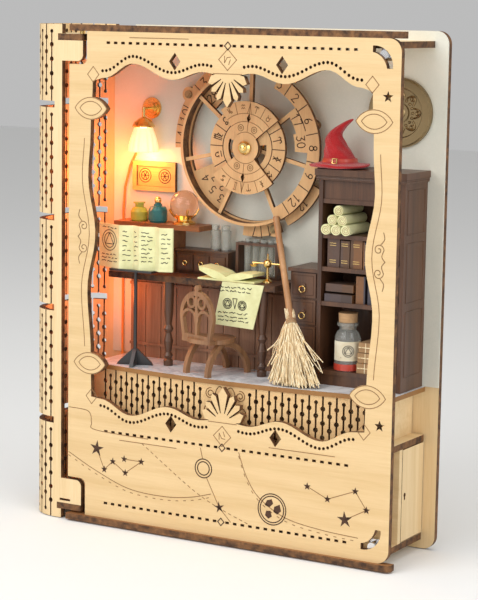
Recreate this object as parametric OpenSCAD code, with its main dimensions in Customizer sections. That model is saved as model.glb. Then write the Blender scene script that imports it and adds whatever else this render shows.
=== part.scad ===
// Book-shaped plywood diorama puzzle: a hinged front cover, a bent spine, a sliding
// drawer and a coaxial decoder dial, with a furnished study behind the window.
// Frame: X to the fore-edge, Y to the back, Z up; the table is at Z = 0.

/* [Book] */
// Overall height
book_h = 240; // [200:1:288]
// Width of the front cover, from hinge edge to fore-edge
cover_w = 174; // [160:1:209]
// Overall thickness of the closed book
book_d = 49; // [47:1:59]
// Thickness of the plywood boards
board_t = 3; // [2:0.5:3.5]
// Radius of the bent spine corners
spine_r = 17; // [12:1:20]
// Gap between the front cover and the box boards
cover_gap = 0.4; // [0.3:0.1:1]

/* [Base and drawer] */
// Height of the floor of the study
floor_z = 77; // [74:0.5:88]
// Height of the drawer base, top face
base_z = 54.4; // [45:0.1:60]
// Depth of the battery bay, front to back
bay_d = 20; // [18:0.5:20.5]
// Length of the drawer tray
drawer_len = 96; // [60:1:100]
// Clearance round the drawer
drawer_gap = 0.5; // [0.4:0.1:1]

/* [Decoder dial] */
// Radius of the spoked wheel
wheel_r = 37.4; // [31:0.1:37.6]
// Number of spokes
spokes = 7; // [5:1:9]
// Radius of the symbol disc
symbol_r = 20.4; // [16:0.1:22]
// Radius of the pointer disc
pointer_r = 22; // [18:0.1:24]
// Radius of the brass axle
axle_r = 1.5; // [1:0.1:2.5]
// Running clearance on the axle and the hinge pins
run_gap = 0.08; // [0.04:0.01:0.1]

/* [Hinge] */
// Radius of the cover hinge pins
pin_r = 1.2; // [0.8:0.1:1.6]
// Distance of the pin from the hinge edge of the cover
pin_x = 4; // [3.5:0.1:5]
// Depth of the pin behind the cover face
pin_y = 5; // [4.5:0.1:6]

/* [Furniture] */
// Width of the bookcase
case_w = 43.6; // [38:0.2:44]
// Width of the desk top
desk_w = 93; // [80:1:94]
// Width of the drawer chest
chest_w = 14.6; // [12:0.2:15]
// Radius of the wall medallion
medal_r = 16; // [12:0.5:17]
// Radius of the crystal ball
ball_r = 7; // [5:0.5:8]
// Length of the broom handle
handle_len = 58; // [45:1:60]

/* [Hidden] */
$fn = 48;

// Working frame: X = 0 at the hinge edge of the cover, Y = 0 at the cover's face.
cover_mid = cover_w / 2;
fore_over = 1.5;          // back cover and bands run past the front cover
back_w = cover_w + fore_over;
box_x1 = cover_w - 5.2;   // fore-edge of the box boards
lip = 2;                  // bottom band stands proud of the cover face
strip_x = -8.5;           // where the flat front strip of the spine starts to bend
strip_x1 = -4.2;          // free edge of that strip
mid_x = (back_w + strip_x - spine_r) / 2;
mid_y = (book_d - lip) / 2;

// Levels of the boards
foot_gap = 0.4;           // the swinging cover clears the table by this
band_z1 = foot_gap + board_t;
low_z = band_z1 + 1.1;    // underside of the bottom board
low_z1 = low_z + board_t;
high_z = book_h - board_t - 1.5 - board_t;
high_z1 = high_z + board_t;
box_y0 = board_t + cover_gap;
back_y = book_d - board_t;
lining_t = 0.6;
wall_y = back_y - lining_t;
tab_x1 = 7.7;             // reach of the spine's corner tabs
tab_low = low_z1 + 12.4;
tab_high = high_z - 9.7;
tenon_x0 = strip_x + 2;
tenon_x1 = tab_x1 - 0.4;
fit = 0.1;                // clearance of tenons in their slots
back_corner_r = 6;

// Window outline: [distance from the middle, height] and [height, half width]
win_scale = (cover_w - 12) / 162;
win_top = book_h - 24.4;
win_low = 62;
top_lip = [[0, 2], [13, 4.1], [29.5, 0], [51.2, 6.9], [67, -0.2], [75, -2]];
low_lip = [[0, -2.5], [13.5, -4.2], [30, 0], [51.3, -6.5], [68, -0.2], [75, 0.4]];
side_lip = [[0, 73.6], [0.14, 74], [0.345, 76.1], [0.521, 71.7], [0.703, 75.9],
    [0.834, 74.7], [1, 73.6]];

// Decoder dial
dial_x = cover_mid - 8.8;
dial_z = book_h - 56.4;
dial_y = book_d - 8.5;    // front of the fixed number dial
dial_t = 2;
disc_t = 1.8;
disc_gap = 0.3;           // between one disc and the next
pointer_y = book_d - 16.6;
symbol_y = pointer_y + disc_t + disc_gap;
wheel_y = symbol_y + disc_t + disc_gap;

// Study
floor_t = 2.2;
floor_x0 = 6;
floor_front = 4;          // the bow of the floor comes this close to the cover
bow_sag = 7;
bow_half = 78;
bow_r = (bow_half * bow_half + bow_sag * bow_sag) / (2 * bow_sag);
bow_x = floor_x0 + bow_half;
rail_t = 2;
rail_low = 46;
desk_z = floor_z + 44;
desk_t = 3;
desk_y0 = 21;
desk_x0 = 9;
leg_x = [desk_x0 + 33, desk_x0 + desk_w - 8];
shelf_z = floor_z + 65;
shelf_t = 2.5;
case_x1 = box_x1 - 1.6;
case_x0 = case_x1 - case_w;
case_y0 = 22;
case_top = floor_z + 100;
case_t = 2;
case_shelves = [floor_z + 7, floor_z + 39, floor_z + 55, floor_z + 70.2,
    floor_z + 86.3];      // upper faces, lowest first
chest_x1 = case_x0 - 0.3;
chest_x0 = chest_x1 - chest_w;
chest_y0 = 24;
chest_top = floor_z + 53.3;

// Drawer
drawer_x0 = box_x1 - drawer_len;
drawer_y0 = bay_d + board_t;
drawer_z1 = base_z - board_t;
tray_wall = 2;
tray_h = 30;

// Battery bay
cell_r = 5.25;            // an AAA cell
cell_len = 44.5;
box_wall = 1.4;
bat_x0 = 16;
bat_len = cell_len + 8;
bat_h = 4 * cell_r + 3.6;
bat_d = 2 * cell_r + 3.2;

module book() {
    translate([-mid_x, -mid_y, 0]) children();
}

// Extrude an outline drawn as seen from the front, from y0 back by t
module front_plate(y0, t) {
    translate([0, y0 + t, 0]) rotate([90, 0, 0]) linear_extrude(height = t) children();
}

// Rod or disc lying along Y
module rod_y(x, y, z, r, len) {
    translate([x, y + len, z]) rotate([90, 0, 0]) cylinder(h = len, r = r);
}

// Rectangle whose fore-edge corners are rounded
module board_outline(x0, x1, z0, z1, r) {
    translate([x0, z0]) square([x1 - r - x0, z1 - z0]);
    translate([x1 - r - 0.01, z0 + r]) square([r + 0.01, z1 - z0 - 2 * r]);
    for (z = [z0 + r, z1 - r])
        translate([x1 - r, z]) circle(r);
}

function ease(t) = (1 - cos(180 * t)) / 2;

// Smooth curve through the turning points in k
function wave(v, k, i = 0) =
    (i >= len(k) - 2 || v <= k[i + 1][0])
    ? k[i][1] + (k[i + 1][1] - k[i][1]) * ease((v - k[i][0]) / (k[i + 1][0] - k[i][0]))
    : wave(v, k, i + 1);

function side_at(t) = wave(t, side_lip);

module window_outline() {
    reach = side_lip[0][1];
    n = 56;
    m = 30;
    span = win_top - win_low;
    low = [for (i = [0:n]) let (u = reach * (2 * i / n - 1))
        [cover_mid + u * win_scale, win_low + wave(abs(u), low_lip)]];
    right = [for (i = [1:m - 1]) let (t = i / m)
        [cover_mid + side_at(t) * win_scale, win_low + 0.4 + t * (span - 2.2)]];
    top = [for (i = [0:n]) let (u = reach * (1 - 2 * i / n))
        [cover_mid + u * win_scale, win_top + wave(abs(u), top_lip)]];
    left = [for (i = [1:m - 1]) let (t = 1 - i / m)
        [cover_mid - side_at(t) * win_scale, win_low + 0.4 + t * (span - 2.2)]];
    polygon(concat(low, right, top, left));
}

// Pointed oval, w wide and h high
module pointed_oval(w, h) {
    r = (w * w + h * h) / (4 * h);
    intersection() {
        translate([0, r - h / 2]) circle(r);
        translate([0, h / 2 - r]) circle(r);
    }
}

module rhombus(w, h) {
    polygon([[-w / 2, 0], [0, -h / 2], [w / 2, 0], [0, h / 2]]);
}

module star(r) {
    polygon([for (i = [0:9]) let (a = 90 + i * 36, q = i % 2 == 0 ? r : r * 0.42)
        [q * cos(a), q * sin(a)]]);
}

// One ray of the fan ornaments, pointing along +X
module ray(len, w) {
    wide = len * 0.75;
    polygon([[0, -0.5], [wide, -w / 2], [len, 0], [wide, w / 2], [0, 0.5]]);
}

// Rays side by side, parted by slits that widen outwards; points along +X
module fan(size) {
    angles = [0, 24, 46, 68];
    lens = [15, 13, 11.6, 11];
    slits = [14, 34, 56];
    scale(size) difference() {
        for (s = [-1, 1], i = [0:3])
            rotate(s * angles[i]) ray(lens[i], 5.2);
        for (s = [-1, 1], a = slits)
            rotate(s * a) polygon([[4, -0.2], [14, -0.85], [14, 0.85], [4, 0.2]]);
    }
}

module moon(r) {
    intersection() {
        difference() {
            circle(r);
            translate([-r * 0.24, -r * 0.24]) circle(r * 0.93);
        }
        translate([-r * 0.1, -r * 0.1]) square(r * 1.2);
    }
}

// A row of dashes either side of the middle
module dash_row(z) {
    pitch = 4.1;
    dash = [2, 1.2];
    for (s = [-1, 1], i = [0:15])
        translate([cover_mid + s * (3.4 + i * pitch) - dash[0] / 2, z - dash[1] / 2])
            square(dash);
}

// Stitch holes that follow a lip at a fixed distance
module stitch_row(base, lip_curve, away) {
    for (s = [-1, 1], i = [0:28]) {
        u = 8.7 + i * 2.12;
        translate([cover_mid + s * u * win_scale, base + away + wave(u, lip_curve)])
            circle(0.75);
    }
}

// ---- front cover -------------------------------------------------------------
notch_x = tab_x1 + 2.4;
cover_z0 = band_z1;
cover_z1 = book_h - board_t;
cut_low = tab_low + 1.4;
cut_high = tab_high - 1.4;

module corner_notches(x, r) {
    translate([-1, cover_z0 - 1]) square([x + 1, cut_low - cover_z0 + 1 - r]);
    translate([-1, cover_z0 - 1]) square([x + 1 - r, cut_low - cover_z0 + 1]);
    translate([x - r, cut_low - r]) circle(r);
    translate([-1, cut_high + r]) square([x + 1, cover_z1 - cut_high]);
    translate([-1, cut_high]) square([x + 1 - r, cover_z1 - cut_high + 1]);
    translate([x - r, cut_high + r]) circle(r);
}

module cover_ornaments() {
    for (s = [-1, 1], z = [win_low + 16.5, win_top - 14.8])
        translate([cover_mid + s * (cover_mid - 12.4), z]) pointed_oval(18.4, 10.8);
    translate([cover_mid, win_top + 3.4]) rotate(-90) fan(1);
    translate([cover_mid, win_low - 3.8]) rotate(90) fan(1.1);
}

module cover_outline() {
    difference() {
        union() {
            difference() {
                board_outline(0, cover_w, cover_z0, cover_z1, 6);
                window_outline();
            }
            cover_ornaments();
        }
        corner_notches(notch_x, 3);
        dash_row(cover_z1 - 5.2);
        dash_row(win_low - 15.8);
        dash_row(cover_z0 + 7.4);
        stitch_row(win_top, top_lip, 3.3);
        stitch_row(win_low, low_lip, -3.3);
        for (s = [-1, 1], z = [win_top + 8.4, win_low - 7.9])
            translate([cover_mid + s * 28.2, z]) rhombus(6.2, 8.2);
        for (z = [win_top - 3.9, win_low + 4])
            translate([cover_w - 6, z]) star(2.7);
        translate([cover_w - 13, cover_z1 - 12.2]) moon(9);
        translate([cover_w - 13, cover_z0 + 14.3]) mirror([0, 1]) moon(9);
    }
}

module front_cover() {
    color("burlywood") book() difference() {
        front_plate(0, board_t) cover_outline();
        for (z = magnet_zs)
            rod_y(magnet_x, board_t - magnet_t, z, magnet_r, magnet_t + 1);
    }
}

// Magnets: one set in the cover, one on the box, face to face
magnet_r = 2;
magnet_t = 1.6;
magnet_x = box_x1 - 4;
magnet_zs = [low_z1 + magnet_r + 0.6, high_z - magnet_r - 0.6];

module cover_magnets() {
    color("silver") book()
        for (z = magnet_zs)
            rod_y(magnet_x, board_t - magnet_t, z, magnet_r, magnet_t);
}

// ---- bands and hinge ---------------------------------------------------------
ear_x = pin_x + 8;
ear_y = pin_y + 4.5;

// Plan of a band: a strip along the cover with an ear round the hinge pin
module band_plan(front, back) {
    r = 2.4;
    difference() {
        union() {
            translate([0, front]) square([back_w - r, back - front]);
            translate([back_w - r - 0.01, front + r]) square([r + 0.01, back - front - r]);
            translate([back_w - r, front + r]) circle(r);
            translate([0, back - 1]) square([ear_x - 2, ear_y - back + 1]);
            translate([ear_x - 2.01, back - 1]) square([2.01, ear_y - back - 1]);
            translate([ear_x - 2, ear_y - 2]) circle(2);
        }
        translate([pin_x, pin_y]) circle(pin_r);
    }
}

module cover_top_band() {
    color("saddlebrown") book() translate([0, 0, book_h - board_t])
        linear_extrude(height = board_t) band_plan(0, board_t);
}

module cover_bottom_band() {
    color("saddlebrown") book() translate([0, 0, foot_gap])
        linear_extrude(height = board_t) band_plan(-lip, board_t);
}

module hinge_pins() {
    color("goldenrod") book() translate([pin_x, pin_y, 0]) {
        translate([0, 0, foot_gap]) cylinder(h = low_z1 + 1 - foot_gap, r = pin_r);
        translate([0, 0, high_z - 1]) cylinder(h = book_h - high_z + 1, r = pin_r);
    }
}

// ---- spine -------------------------------------------------------------------
corner_steps = 7;
flat_steps = 4;
spine_flat = book_d - 2 * spine_r;

function spine_line(r) = concat(
    [for (i = [0:corner_steps]) let (a = 90 * i / corner_steps)
        [strip_x - r * sin(a), spine_r - r * cos(a)]],
    [for (i = [1:flat_steps - 1])
        [strip_x - r, spine_r + spine_flat * i / flat_steps]],
    [for (i = [0:corner_steps]) let (a = 90 - 90 * i / corner_steps)
        [strip_x - r * sin(a), book_d - spine_r + r * cos(a)]]);

spine_out = spine_line(spine_r);
spine_in = spine_line(spine_r - board_t);
plank_count = len(spine_out) - 1;
spine_cuts = [0.2015, 0.4325, 0.6155, 0.8415];
cut_h = 3.1;
hole_r = 1.2;
hole_pitch = 6.85;

module spine_plan() {
    polygon(concat(spine_out, [for (i = [plank_count:-1:0]) spine_in[i]]));
    for (y = [0, back_y])
        translate([strip_x, y]) square([strip_x1 - strip_x, board_t]);
}

// One chain of holes joined by a slit; open at the top or at the bottom
module hole_chain(h, open_top, r, pitch, slit, margin) {
    shift = open_top ? pitch / 4 : -pitch / 4;
    n = floor((h - 2 * margin - pitch) / pitch);
    for (k = [0:n])
        translate([0, h / 2 + shift + (k - n / 2) * pitch]) circle(r);
    z0 = open_top ? margin : -1;
    z1 = open_top ? h + 1 : h - margin;
    translate([-slit / 2, z0]) square([slit, z1 - z0]);
    translate([0, open_top ? margin : h - margin]) circle(r * 0.8);
}

module spine_segment_cuts(z0, z1) {
    for (i = [0:plank_count - 1]) {
        p = spine_out[i];
        q = spine_out[i + 1];
        a = atan2(q[1] - p[1], q[0] - p[0]);
        translate([(p[0] + q[0]) / 2, (p[1] + q[1]) / 2, z0]) rotate([90, 0, a])
            linear_extrude(height = 2.6 * board_t, center = true)
                hole_chain(z1 - z0, i % 2 == 1, hole_r, hole_pitch, 0.8, 3.4);
    }
}

// Corner tab of a flat strip, rounded where the cover's notch passes it
module tab_outline(z0, z1, round_top) {
    r = 3;
    zr = round_top ? z1 - r : z0 + r;
    translate([strip_x + 0.5, z0]) square([tab_x1 - r - strip_x - 0.5, z1 - z0]);
    translate([tab_x1 - r - 0.01, round_top ? z0 : z0 + r])
        square([r + 0.01, z1 - z0 - r]);
    translate([tab_x1 - r, zr]) circle(r);
}

module spine() {
    edges = concat([0], [for (c = spine_cuts) c * book_h], [book_h]);
    color("tan") book() difference() {
        union() {
            linear_extrude(height = book_h) spine_plan();
            for (y = [0, back_y])
                front_plate(y, board_t) {
                    tab_outline(low_z1, tab_low, true);
                    tab_outline(tab_high, high_z, false);
                }
        }
        for (c = spine_cuts)
            translate([strip_x - spine_r - 1, -1, c * book_h - cut_h / 2])
                cube([spine_r + 1, book_d + 2, cut_h]);
        for (i = [0:len(edges) - 2])
            spine_segment_cuts(edges[i] + (i > 0 ? cut_h / 2 : 0),
                edges[i + 1] - (i < len(spine_cuts) ? cut_h / 2 : 0));
        for (z = [low_z, high_z], y = [-1, back_y - 1])
            translate([tenon_x0 - fit, y, z - fit])
                cube([tenon_x1 - tenon_x0 + 2 * fit + 1, board_t + 2, board_t + 2 * fit]);
        translate([tenon_x0 + 1.6, -1, low_z1 + 1.2]) cube([6.2, board_t + 2, 1.1]);
    }
}

// ---- box ---------------------------------------------------------------------
// Plan of the top and bottom boards: rounded to fit inside the spine, with tenons
module box_board_plan() {
    r = spine_r - board_t - 0.35;
    x = strip_x;
    translate([x, box_y0]) square([box_x1 - x, wall_y - box_y0]);
    translate([x - r, spine_r]) square([r + 0.01, spine_flat]);
    for (y = [spine_r, book_d - spine_r])
        translate([x, y]) circle(r);
    translate([tenon_x0, 0]) square([tenon_x1 - tenon_x0, book_d]);
}

module box_board(z) {
    color("peru") book() translate([0, 0, z]) difference() {
        linear_extrude(height = board_t) box_board_plan();
        translate([pin_x, pin_y, -1]) cylinder(h = board_t + 2, r = pin_r + run_gap);
    }
}

module bottom_board() { box_board(low_z); }
module top_board() { box_board(high_z); }

// The back cover butts against the spine and makes room for its corner tabs
module back_outline() {
    difference() {
        board_outline(strip_x1, back_w, 0, book_h, back_corner_r);
        translate([strip_x1 - 1, -1]) square([tab_x1 + fit - strip_x1 + 1, tab_low + fit + 1]);
        translate([strip_x1 - 1, tab_high - fit])
            square([tab_x1 + fit - strip_x1 + 1, book_h - tab_high + fit + 1]);
    }
}

module back_cover() {
    color("tan") book() front_plate(back_y, board_t) back_outline();
}

module wall_lining() {
    color("beige") book() front_plate(wall_y, lining_t) intersection() {
        back_outline();
        translate([strip_x1, floor_z]) square([back_w - strip_x1, book_h]);
    }
}

module board(x0, x1, y0, y1, z0, z1) {
    translate([x0, y0, z0]) cube([x1 - x0, y1 - y0, z1 - z0]);
}

// Walls of the drawer base and the risers under the study floor
module base_walls() {
    wall_x0 = strip_x + 1;
    color("burlywood") book() {
        board(wall_x0, box_x1, bay_d, bay_d + board_t, low_z1, base_z - board_t);
        board(drawer_x0 - 4 - board_t, drawer_x0 - 4, drawer_y0, back_y, low_z1,
            base_z - board_t);
        for (x = [floor_x0 + 4, box_x1 - 9.3])
            board(x, x + board_t, bay_d, wall_y, base_z, floor_z - floor_t);
    }
}

module bowed_plan(r, x1) {
    intersection() {
        translate([bow_x, floor_front + bow_r]) circle(r, $fn = 200);
        translate([floor_x0, 0]) square([2 * bow_half, wall_y]);
    }
    translate([floor_x0 + 1, floor_front + bow_sag + (bow_r - r)])
        square([x1 - floor_x0 - 1, wall_y - floor_front - bow_sag - (bow_r - r)]);
}

module base_top() {
    color("burlywood") book() translate([0, 0, base_z - board_t])
        linear_extrude(height = board_t) bowed_plan(bow_r - 1 - rail_t, box_x1);
}

module stage_floor() {
    color("whitesmoke") book() translate([0, 0, floor_z - floor_t])
        linear_extrude(height = floor_t) bowed_plan(bow_r, box_x1);
}

// Bowed lattice under the front edge of the floor, plain in the middle
module railing() {
    pitch = 3.35;
    plain = 4;
    h = floor_z - floor_t - rail_low;
    color("tan") book() difference() {
        translate([0, 0, rail_low]) linear_extrude(height = h) intersection() {
            difference() {
                translate([bow_x, floor_front + bow_r]) circle(bow_r - 1, $fn = 200);
                translate([bow_x, floor_front + bow_r]) circle(bow_r - 1 - rail_t, $fn = 200);
            }
            translate([floor_x0 + 2, 0]) square([2 * bow_half - 4, bow_sag + floor_front + 6]);
        }
        translate([0, 0, rail_low]) front_plate(0, 20)
            for (s = [-1, 1], i = [plain:21])
                translate([bow_x + 1 + s * i * pitch, 0])
                    hole_chain(h, i % 2 == 1, 1.2, 6.7, 0.9, 3.2);
    }
}

module box_magnets() {
    y0 = board_t + cover_gap + 0.2;
    color("silver") book()
        for (z = magnet_zs)
            rod_y(magnet_x, y0, z, magnet_r, magnet_t);
    color("burlywood") book()
        for (z = magnet_zs) {
            low = z < book_h / 2;
            board(magnet_x - 3, magnet_x + 3, y0 + magnet_t, y0 + magnet_t + 3,
                low ? low_z1 : high_z - 5.4, low ? low_z1 + 5.4 : high_z);
        }
}

// ---- drawer ------------------------------------------------------------------
module drawer_front() {
    color("burlywood") book() difference() {
        board(box_x1 - board_t, box_x1, drawer_y0 + drawer_gap, back_y - drawer_gap,
            low_z1 + drawer_gap, drawer_z1 - drawer_gap);
        for (dz = [0, -1.6])
            translate([box_x1 - board_t - 1, drawer_y0 + 3.4, (low_z1 + drawer_z1) / 2 + dz])
                rotate([0, 90, 0]) cylinder(h = board_t + 2, r = dz == 0 ? 1.1 : 0.7);
    }
}

module drawer_tray() {
    x1 = box_x1 - board_t;
    y0 = drawer_y0 + drawer_gap;
    y1 = back_y - drawer_gap;
    z0 = low_z1 + drawer_gap;
    color("wheat") book() difference() {
        board(drawer_x0, x1, y0, y1, z0, z0 + tray_h);
        board(drawer_x0 + tray_wall, x1 - tray_wall, y0 + tray_wall, y1 - tray_wall,
            z0 + tray_wall, z0 + tray_h + 1);
    }
}

// ---- decoder dial ------------------------------------------------------------
module ring_sector(r0, r1, a0, a1) {
    reach = r1 * 1.6;
    n = max(1, ceil((a1 - a0) / 60));
    intersection() {
        difference() {
            circle(r1);
            circle(r0);
        }
        polygon(concat([[0, 0]], [for (i = [0:n]) let (a = a0 + (a1 - a0) * i / n)
            [reach * cos(a), reach * sin(a)]]));
    }
}

module dial_place(y, t) {
    front_plate(y, t) translate([dial_x, dial_z]) children();
}

rim_t = 1.4;              // wall of the deep rim
wide_rim = wheel_r - 6.4;
wide_a = [-64, 66];       // the wheel's flat, numbered stretch
pin_at = [[wheel_r + 6, 147], [wheel_r + 2.9, -73], [wheel_r - 3.8, 20]];
pin_hole = 1.1;
pin_head = 1.9;

module number_dial() {
    ear_r = wheel_r + 6.3;
    color("peru") book() dial_place(dial_y, dial_t) difference() {
        union() {
            ring_sector(wheel_r - 6, wheel_r - 2, wide_a[0], wide_a[1]);
            ring_sector(wheel_r - 2.2, wheel_r, wide_a[1] - 6, 360 + wide_a[0]);
            for (a = [wide_a[0], wide_a[1] - 6])
                ring_sector(wheel_r - 6, wheel_r, a, a + 6);
            ring_sector(wheel_r - 0.5, ear_r, 125, 183);
            ring_sector(wheel_r - 0.5, ear_r - 1, -97, -68);
            ring_sector(wheel_r - 3, wheel_r + 3.6, -62, -27);
            ring_sector(wheel_r - 10, wheel_r - 1, 129, 141);
            ring_sector(wheel_r - 15, wheel_r - 1, 202, 241);
            for (p = pin_at)
                rotate(p[1]) translate([p[0], 0]) circle(p[0] > wheel_r ? 3.6 : 3);
        }
        for (p = pin_at)
            rotate(p[1]) translate([p[0], 0]) circle(pin_hole);
    }
}

// Spacer pins that hold the number dial off the back wall
module dial_pins() {
    head_t = 0.8;
    color("goldenrod") book()
        for (p = pin_at) {
            x = dial_x + p[0] * cos(p[1]);
            z = dial_z + p[0] * sin(p[1]);
            rod_y(x, dial_y - head_t, z, pin_head, head_t);
            rod_y(x, dial_y, z, pin_hole, dial_t);
            rod_y(x, dial_y + dial_t, z, pin_head, wall_y - dial_y - dial_t);
        }
}

// Deep thin rim on one side, flat numbered rim on the other
module spoked_wheel() {
    hub = axle_r + 4;
    deep_y = wheel_y - 1.6;
    first = 89;
    color("burlywood") book() difference() {
        union() {
            dial_place(deep_y, dial_y - 0.4 - deep_y)
                ring_sector(wheel_r - rim_t, wheel_r, wide_a[1] - 2, 360 + wide_a[0] + 2);
            dial_place(wheel_y, dial_t) {
                difference() {
                    circle(wheel_r);
                    circle(wheel_r - rim_t);
                }
                ring_sector(wide_rim, wheel_r, wide_a[0], wide_a[1]);
                ring_sector(wheel_r - 13, wide_rim + 0.2, -2, 17);
                ring_sector(wheel_r - 11.4, wide_rim + 0.2, 17, 38);
                circle(hub);
                for (i = [0:spokes - 1])
                    rotate(first + i * 360 / spokes)
                        translate([hub - 0.5, -0.9]) square([wheel_r - hub - 0.4, 1.8]);
            }
        }
        rod_y(dial_x, wheel_y - 1, dial_z, axle_r + run_gap, 8);
    }
}

module zodiac_disc() {
    color("burlywood") book() dial_place(symbol_y, disc_t) difference() {
        circle(symbol_r);
        circle(axle_r + run_gap);
        for (a = [0:120:240])
            rotate(a + 30) ring_sector(7, 10.4, 8, 100);
    }
}

module pointer_disc() {
    color("tan") book() dial_place(pointer_y, disc_t) difference() {
        union() {
            ring_sector(axle_r + run_gap, pointer_r, 38, 128);
            ring_sector(axle_r + run_gap, pointer_r, 218, 313);
            circle(axle_r + 5.5);
        }
        circle(axle_r + run_gap);
        for (a = [83, 265.5])
            rotate(a) translate([14, 0]) rhombus(5, 2.2);
    }
}

module wheel_axle() {
    collar = axle_r + 1.6;
    color("goldenrod") book() {
        rod_y(dial_x, pointer_y - 1.8, dial_z, axle_r, wall_y - pointer_y + 1.8);
        rod_y(dial_x, wheel_y + dial_t + disc_gap, dial_z, collar,
            wall_y - wheel_y - dial_t - disc_gap);
    }
}

module axle_cap() {
    color("gold") book() difference() {
        translate([dial_x, pointer_y - 0.35, dial_z]) rotate([90, 0, 0])
            rotate_extrude() polygon([[0, 0], [3.2, 0], [3.2, 0.8], [2.4, 1.6], [1.4, 1.6],
                [1.2, 2.3], [0, 2.5]]);
        rod_y(dial_x, pointer_y - 1.8, dial_z, axle_r, 3);
    }
}

// ---- lamp --------------------------------------------------------------------
lamp_x = 18;
lamp_y = wall_y - 8;
lamp_z = dial_z + 16;     // height of the wall rosette
shade_z1 = lamp_z - 9;
shade_h = 12;

module turned(x, y, z, outline) {
    translate([x, y, z]) rotate_extrude() polygon(outline);
}

module lamp_bracket() {
    color("goldenrod") book() {
        for (k = [0:2])
            rod_y(lamp_x, wall_y - 0.8 * (k + 1), lamp_z, 5.2 - 1.3 * k, 0.8);
        rod_y(lamp_x, lamp_y + 0.7, lamp_z, 0.8, wall_y - 2.4 - lamp_y - 0.7);
        turned(lamp_x, lamp_y, shade_z1, [[0, 0], [5.4, 0], [5.6, 0.7], [4.4, 2.6], [2.4, 4.2],
            [0.8, 5], [0.8, lamp_z - shade_z1 + 0.8], [0, lamp_z - shade_z1 + 0.8]]);
    }
}

module lamp_shade() {
    color("navajowhite") book() turned(lamp_x, lamp_y, shade_z1 - shade_h,
        [[6.6, 0], [7.4, 0], [7.1, 3.4], [6.1, 7], [4.9, shade_h], [4.1, shade_h],
        [5.3, 7], [6.3, 3.4]]);
}

module lamp_led() {
    color("lightyellow") book() translate([lamp_x, lamp_y, shade_z1 - 5]) {
        cylinder(h = 5, r = 1.5);
        sphere(1.5);
    }
}

// The lead runs down the wall, over the base and into the battery box
wire_r = 0.6;
wire_path = [[18, 44, 194], [16, 44.5, 188], [11, 44.5, 180], [6, 44.5, 171],
    [3, 44.5, 160], [2, 44.5, 148], [2, 44.5, 130], [2, 44.5, 110], [2, 44.5, 90],
    [2, 44.5, 72], [2, 43, 64], [2, 38, 58], [2, 30, 55], [2, 22, 54], [3, 17, 50],
    [6, 15.5, 43], [9, 15, 36], [13, 14.5, 31], [bat_x0, 14, 29]];

function unit(v) = v / norm(v);
function along(k) = unit(wire_path[min(k + 1, len(wire_path) - 1)] - wire_path[max(k - 1, 0)]);
function side_of(d) = unit(cross(d, abs(d[1]) > 0.8 ? [1, 0, 0] : [0, 1, 0]));

module tube_along(path, r, sides) {
    n = len(path);
    pts = [for (k = [0:n - 1]) let (d = along(k), a = side_of(d), b = cross(d, a))
        for (j = [0:sides - 1]) let (t = 360 * j / sides)
            path[k] + r * cos(t) * a + r * sin(t) * b];
    faces = concat([[for (j = [0:sides - 1]) j]],
        [for (k = [0:n - 2]) for (j = [0:sides - 1]) let (m = (j + 1) % sides)
            [k * sides + j, (k + 1) * sides + j, (k + 1) * sides + m, k * sides + m]],
        [[for (j = [sides - 1:-1:0]) (n - 1) * sides + j]]);
    polyhedron(points = pts, faces = faces);
}

module lamp_wire() {
    color("orangered") book() tube_along(wire_path, wire_r, 8);
}

// ---- battery box and switch --------------------------------------------------
bat_y0 = bay_d - bat_d;
cell_z0 = low_z1 + box_wall + 0.2 + cell_r;
cell_z = [cell_z0, cell_z0 + 2 * cell_r + 0.3];
switch_x0 = bat_x0 + bat_len;
switch_w = 12;
knob_w = 3.6;
knob_travel = 3.4;
knob_z = low_z1 + 10;

module battery_box() {
    color("black") book() difference() {
        union() {
            board(bat_x0, bat_x0 + bat_len, bat_y0, bay_d, low_z1, low_z1 + bat_h);
            board(switch_x0, switch_x0 + switch_w, bat_y0, bay_d, low_z1, low_z1 + 18);
        }
        board(bat_x0 + box_wall, bat_x0 + bat_len - box_wall, bat_y0 - 1,
            bay_d - box_wall, low_z1 + box_wall, low_z1 + bat_h - box_wall);
        board(switch_x0 + 1.5, switch_x0 + 1.5 + knob_w + knob_travel + 0.6, bat_y0 - 1,
            bat_y0 + 3.2, knob_z - 2.3, knob_z + 2.3);
    }
}

module battery_cells() {
    x0 = bat_x0 + (bat_len - cell_len) / 2;
    color("silver") book()
        for (k = [0, 1])
            translate([x0, bay_d - box_wall - fit - cell_r, cell_z[k]]) rotate([0, 90, 0]) {
                translate([0, 0, k == 0 ? 0 : 0.8]) cylinder(h = cell_len - 0.8, r = cell_r);
                translate([0, 0, k == 0 ? cell_len - 0.8 : 0]) cylinder(h = 0.8, r = 1.9);
            }
}

module power_switch() {
    color("dimgray") book()
        board(switch_x0 + 1.8, switch_x0 + 1.8 + knob_w, bat_y0 - 1.6, bat_y0 + 2.8,
            knob_z - 2, knob_z + 2);
}

// ---- things on the wall ------------------------------------------------------
shelf_x0 = 5;
shelf_x1 = 54;
item_y = 38;
cup_x1 = 38;

module wall_shelf() {
    color("saddlebrown") book() {
        board(shelf_x0, shelf_x1, wall_y - 14, wall_y, shelf_z, shelf_z + shelf_t);
        difference() {
            board(shelf_x0 + 3, cup_x1, wall_y - 12, wall_y, desk_z, shelf_z);
            board(shelf_x0 + 4.5, cup_x1 - 1.5, wall_y - 10.5, wall_y + 1, desk_z + 1.5,
                shelf_z - 1.5);
        }
    }
}

module picture_frame() {
    x0 = 7.9;
    z0 = shelf_z + 17;
    w = 24.8;
    h = 14.4;
    color("goldenrod") book() difference() {
        board(x0, x0 + w, wall_y - 2, wall_y, z0, z0 + h);
        board(x0 + 2.4, x0 + w - 2.4, wall_y - 3, wall_y - 0.8, z0 + 2.2, z0 + h - 2.2);
    }
}

shelf_top = shelf_z + shelf_t;

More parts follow.
